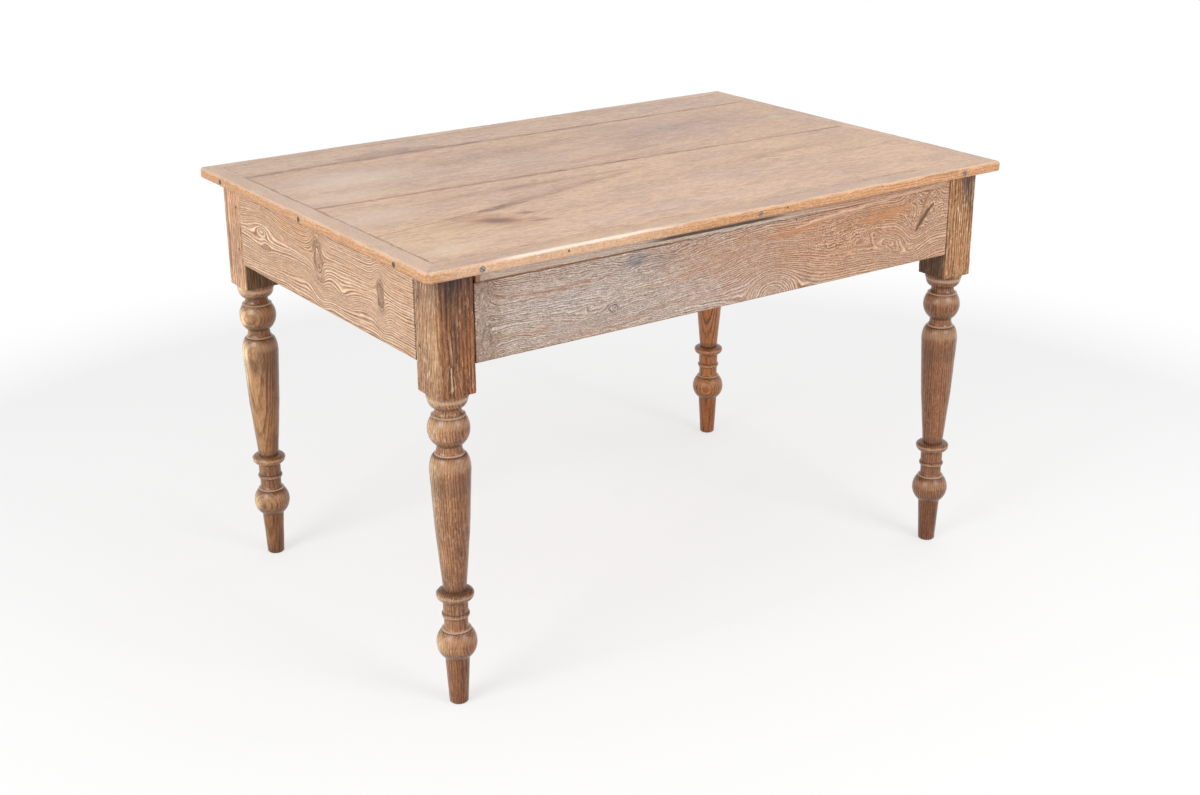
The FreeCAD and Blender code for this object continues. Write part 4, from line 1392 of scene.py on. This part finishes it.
def setOutTree(name, slotted):
    # a round head or peg end, copied to each point and turned about its own axis by chance
    inputs = {"Radius": ("NodeSocketFloat", 0.004), "Depth": ("NodeSocketFloat", 0.003),
              "Sides": ("NodeSocketInt", 32), "Crown": ("NodeSocketFloat", 0.0003),
              "Slot width": ("NodeSocketFloat", 0.001), "Slot depth": ("NodeSocketFloat", 0.001),
              "Seed": ("NodeSocketInt", 3), "Finish": ("NodeSocketMaterial", None)}
    group, tree, size = newGeometryTree(name, inputs)
    head = tree.add("GeometryNodeMeshCylinder", {"fill_type": "TRIANGLE_FAN"},
                    {"Vertices": size["Sides"], "Side Segments": 3, "Fill Segments": 6,
                     "Radius": size["Radius"], "Depth": size["Depth"]})
    position = tree.add("GeometryNodeInputPosition")
    x, y, z = tree.parts(position)
    fromMiddle = (x * x + y * y) / (size["Radius"] * size["Radius"])
    upper = (z / size["Depth"] + 0.5).limited()
    flare = 0.72 + upper * 0.28
    lowered = z - size["Depth"] * 0.5 - upper * fromMiddle * size["Crown"]
    shaped = tree.add("GeometryNodeSetPosition", None,
                      {"Geometry": head, "Position": tree.vector(x * flare, y * flare, lowered)})
    if slotted:
        slot = tree.vector(size["Radius"] * 3.0, size["Slot width"], size["Slot depth"] * 2.0)
        bar = tree.add("GeometryNodeMeshCube", None, {"Size": slot})
        shaped = tree.add("GeometryNodeMeshBoolean", {"operation": "DIFFERENCE"},
                          {"Mesh 1": shaped, "Mesh 2": bar})
    facing = tree.add("GeometryNodeInputNamedAttribute", {"data_type": "FLOAT_VECTOR"}, {"Name": "facing"})
    turned = tree.add("FunctionNodeAlignRotationToVector", {"axis": "Z"}, {"Vector": facing})
    chance = tree.add("FunctionNodeRandomValue", {"data_type": "FLOAT"},
                      {2: 0.0, 3: math.pi, "Seed": size["Seed"]}, output=1)
    spin = tree.add("FunctionNodeAxisAngleToRotation", None, {"Axis": (0.0, 0.0, 1.0), "Angle": chance})
    spun = tree.add("FunctionNodeRotateRotation", {"rotation_space": "LOCAL"}, [turned, spin])
    points = tree.add("GeometryNodeMeshToPoints", None, {"Mesh": size["Geometry"]})
    copies = tree.add("GeometryNodeInstanceOnPoints", None,
                      {"Points": points, "Instance": shaped, "Rotation": spun})
    whole = tree.add("GeometryNodeRealizeInstances", None, [copies])
    whole = tree.add("GeometryNodeSetMaterial", None, {"Geometry": whole, "Material": size["Finish"]})
    tree.node("NodeGroupOutput", None, [whole])
    return group


def steelMaterial():
    steel = {"colour": (0.34, 0.34, 0.35), "dark": (0.04, 0.035, 0.03), "roughness": 0.42,
             "metallic": 0.85, "relief": 0.1 * mm, "endsFrom": 0.600, "endsShare": 0.75}
    material, tree = newMaterial("dull steel")
    x, y, z = tree.parts(tree.add("ShaderNodeTexCoord", output="Object"))
    spots = tree.cloud(x * 700.0, y * 700.0, z * 700.0, 4.0, 3.0, 0.6)
    fine = tree.cloud(x * 2600.0, y * 2600.0, z * 2600.0, 9.0, 2.0, 0.6)
    colour = tree.mix(spots.smooth(0.45, 0.70) * 0.8, steel["colour"], steel["dark"])
    # those in the two ends of the top have darkened
    atEnds = abs(x).smooth(steel["endsFrom"], steel["endsFrom"] + 5 * mm)
    colour = tree.mix(atEnds * steel["endsShare"], colour, steel["dark"])
    normal = tree.add("ShaderNodeBump", None,
                      {"Strength": 0.6, "Distance": steel["relief"], "Height": spots + fine * 0.5})
    shader = tree.add("ShaderNodeBsdfPrincipled", None,
                      {"Base Color": colour, "Metallic": steel["metallic"], "Normal": normal,
                       "Roughness": steel["roughness"] + (fine - 0.5) * 0.3})
    tree.node("ShaderNodeOutputMaterial", None, {"Surface": shader})
    return material


steel = steelMaterial()
edgePoints = []
for side in (-1, 1):
    for share in edgeScrew["frontShares"]:
        edgePoints.append((edgePlace(share, side, False, edgeScrew["sink"]), (0, side, 0)))
    for share in edgeScrew["endShares"]:
        edgePoints.append((edgePlace(share, side, True, edgeScrew["sink"]), (side, 0, 0)))
screwGroup = setOutTree("slotted screws", True)
edgeScrews = bakedByNodes("edge_screw_heads", screwGroup, pointMesh("edge screw points", edgePoints),
                          {"Radius": edgeScrew["radius"] * mm, "Depth": edgeScrew["depth"] * mm, "Sides": 36,
                           "Crown": 0.06 * mm, "Slot width": edgeScrew["slot"] * mm,
                           "Slot depth": edgeScrew["slotDepth"] * mm, "Seed": 12, "Finish": steel})
finishPiece(edgeScrews, steel, "screw_steel", "edge_screws")

peg = {"radius": 4.0, "sides": 9, "depth": 6.0, "proud": 0.1, "fromShoulder": 16,
       "lowHeight": 632, "highHeight": 711, "frontHeight": 705}
pegWood = {
    "axes": "yxz", "seed": 131.0, "heart": (0.02, 0.02), "ringWidth": 1.6 * mm, "wander": 1 * mm,
    "early": (0.16, 0.075, 0.04), "late": (0.07, 0.03, 0.018), "second": (0.19, 0.09, 0.05),
    "pore": (0.30, 0.18, 0.11), "poreShare": 0.3, "roughness": 0.6, "relief": 0.2 * mm,
}


def pegPoints():
    points = []
    for xSide in (-1, 1):
        for ySide in (-1, 1):
            faceX = xSide * (leg["x"] + leg["square"] / 2 + peg["proud"])
            faceY = ySide * (leg["y"] + leg["square"] / 2 + peg["proud"])
            along = xSide * (apron["shoulderX"] + peg["fromShoulder"])
            across = ySide * (apron["shoulderY"] + peg["fromShoulder"])
            upper = peg["frontHeight"] if ySide < 0 else peg["highHeight"]
            for height in (peg["lowHeight"], upper):
                points.append(((along, faceY, height), (0, ySide, 0)))
            for height in (peg["lowHeight"], peg["highHeight"]):
                points.append(((faceX, across, height), (xSide, 0, 0)))
    return points


pegMaterial = woodMaterial("peg wood", pegWood)
pegGroup = setOutTree("tapered pegs", False)
pegs = bakedByNodes("peg_ends", pegGroup, pointMesh("peg points", pegPoints()),
                    {"Radius": peg["radius"] * mm, "Depth": peg["depth"] * mm, "Sides": peg["sides"],
                     "Crown": 0.5 * mm, "Seed": 5, "Finish": pegMaterial})
finishPiece(pegs, pegMaterial, "peg_wood", "tenon_pegs")
print("screws and pegs made")


# Inside: battens and glue blocks keep their solids

innerWood = {
    "axes": "yxz", "seed": 141.0, "heart": (0.9, 0.4), "ringWidth": 4.0 * mm, "early": (0.47, 0.34, 0.23),
    "late": (0.34, 0.23, 0.15), "second": (0.44, 0.33, 0.24), "pore": (0.30, 0.21, 0.14),
    "poreShare": 0.4, "fleckShare": 0.1, "roughness": 0.75, "relief": 0.5 * mm,
}
acrossGrain = woodMaterial("sawn wood across", innerWood)
lengthGrain = woodMaterial("sawn wood along", {**innerWood, "axes": "xyz", "seed": 149.0})
innerPieces = {"cross_batten_left": acrossGrain, "cross_batten_right": acrossGrain,
               "glue_blocks_left_end": acrossGrain, "glue_blocks_right_end": acrossGrain,
               "glue_blocks_front": lengthGrain, "glue_blocks_back": lengthGrain, "batten_screws": steel}
for name, material in innerPieces.items():
    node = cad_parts[name]
    node.data.materials.clear()
    node.data.materials.append(material)
print("inner pieces dressed")


# Floor, light and camera

studio = {
    "floorHalf": 14.0, "floorColour": (0.94, 0.94, 0.94), "worldStrength": 0.50,
    "lift": 0.60, "fadeFrom": 0.9, "fadeTo": 2.2,     # how white the seen floor is, near and far
}
softBoxes = {
    "left window": {"place": (-4.0, -0.9, 2.4), "target": (0.0, 0.0, 0.5), "size": (2.1, 2.0), "power": 100},
    "right window": {"place": (0.8, -3.2, 2.2), "target": (0.0, 0.0, 0.5), "size": (1.5, 1.6), "power": 50},
    "top cloth": {"place": (1.4, 0.0, 2.9), "target": (0.4, 0.0, 0.7), "size": (2.4, 2.2), "power": 12},
}
photoView = {
    "azimuth": -34.917, "elevation": 20.847, "roll": -0.357, "place": (-1.8286, -2.6125, 1.5275),
    "lens": 52.82, "sensor": 36.0, "reach": 60.0,
}
white = (1.0, 1.0, 1.0)


def backgroundRays(tree):
    # 1 for what the camera sees straight on, in metal and through glass
    path = tree.node("ShaderNodeLightPath")
    camera, glossy, through = (Value(tree, path.outputs[label])
                               for label in ("Is Camera Ray", "Is Glossy Ray", "Is Transmission Ray"))
    return camera.most(glossy).most(through)


def paleFloor():
    mesh = bpy.data.meshes.new("floor")
    half = studio["floorHalf"]
    corners = [(-half, -half, 0), (half, -half, 0), (half, half, 0), (-half, half, 0)]
    mesh.from_pydata(corners, [], [(0, 1, 2, 3)])
    floor = inScene("floor", mesh)
    material, tree = newMaterial("pale floor")
    x, y, z = tree.parts(tree.add("ShaderNodeTexCoord", output="Object"))
    far = (x * x + y * y).root().smooth(studio["fadeFrom"], studio["fadeTo"])
    near = tree.add("ShaderNodeBsdfDiffuse", None, {"Color": studio["floorColour"]})
    bright = tree.add("ShaderNodeEmission", None, {"Color": white, "Strength": 1.0})
    share = far.most(studio["lift"]) * backgroundRays(tree)
    shader = tree.add("ShaderNodeMixShader", None, [share, near, bright])
    tree.node("ShaderNodeOutputMaterial", None, {"Surface": shader})
    mesh.materials.append(material)


def whiteWorld():
    world = bpy.data.worlds.new("studio")
    bpy.context.scene.world = world
    world.use_nodes = True
    tree = Tree(world.node_tree)
    seen = backgroundRays(tree)
    strength = seen + (1.0 - seen) * studio["worldStrength"]
    sky = tree.add("ShaderNodeBackground", None, {"Color": white, "Strength": strength})
    tree.node("ShaderNodeOutputWorld", None, {"Surface": sky})


def softBox(name, box):
    lamp = bpy.data.lights.new(name, "AREA")
    lamp.shape = "RECTANGLE"
    lamp.size, lamp.size_y = box["size"]
    lamp.energy = box["power"]
    made = inScene(name, lamp)
    made.location = box["place"]
    aim = Vector(box["target"]) - Vector(box["place"])
    made.rotation_euler = aim.to_track_quat("-Z", "Y").to_euler()


def photoCamera():
    azimuth, rise, roll = (math.radians(photoView[key]) for key in ("azimuth", "elevation", "roll"))
    level = math.cos(rise)
    back = Vector((math.sin(azimuth) * level, -math.cos(azimuth) * level, math.sin(rise)))
    right = Vector((math.cos(azimuth), math.sin(azimuth), 0.0))
    up = back.cross(right)
    across = right * math.cos(roll) + up * math.sin(roll)
    upright = up * math.cos(roll) - right * math.sin(roll)
    data = bpy.data.cameras.new("camera")
    data.sensor_fit = "HORIZONTAL"
    data.sensor_width = photoView["sensor"]
    data.lens = photoView["lens"]
    data.clip_end = photoView["reach"]
    camera = inScene("camera", data)
    turn = Matrix((across, upright, back)).transposed()
    camera.matrix_world = Matrix.Translation(photoView["place"]) @ turn.to_4x4()
    bpy.context.scene.camera = camera


paleFloor()
whiteWorld()
for name, box in softBoxes.items():
    softBox(name, box)
photoCamera()
bpy.context.scene.view_settings.view_transform = "Standard"
print("studio made")
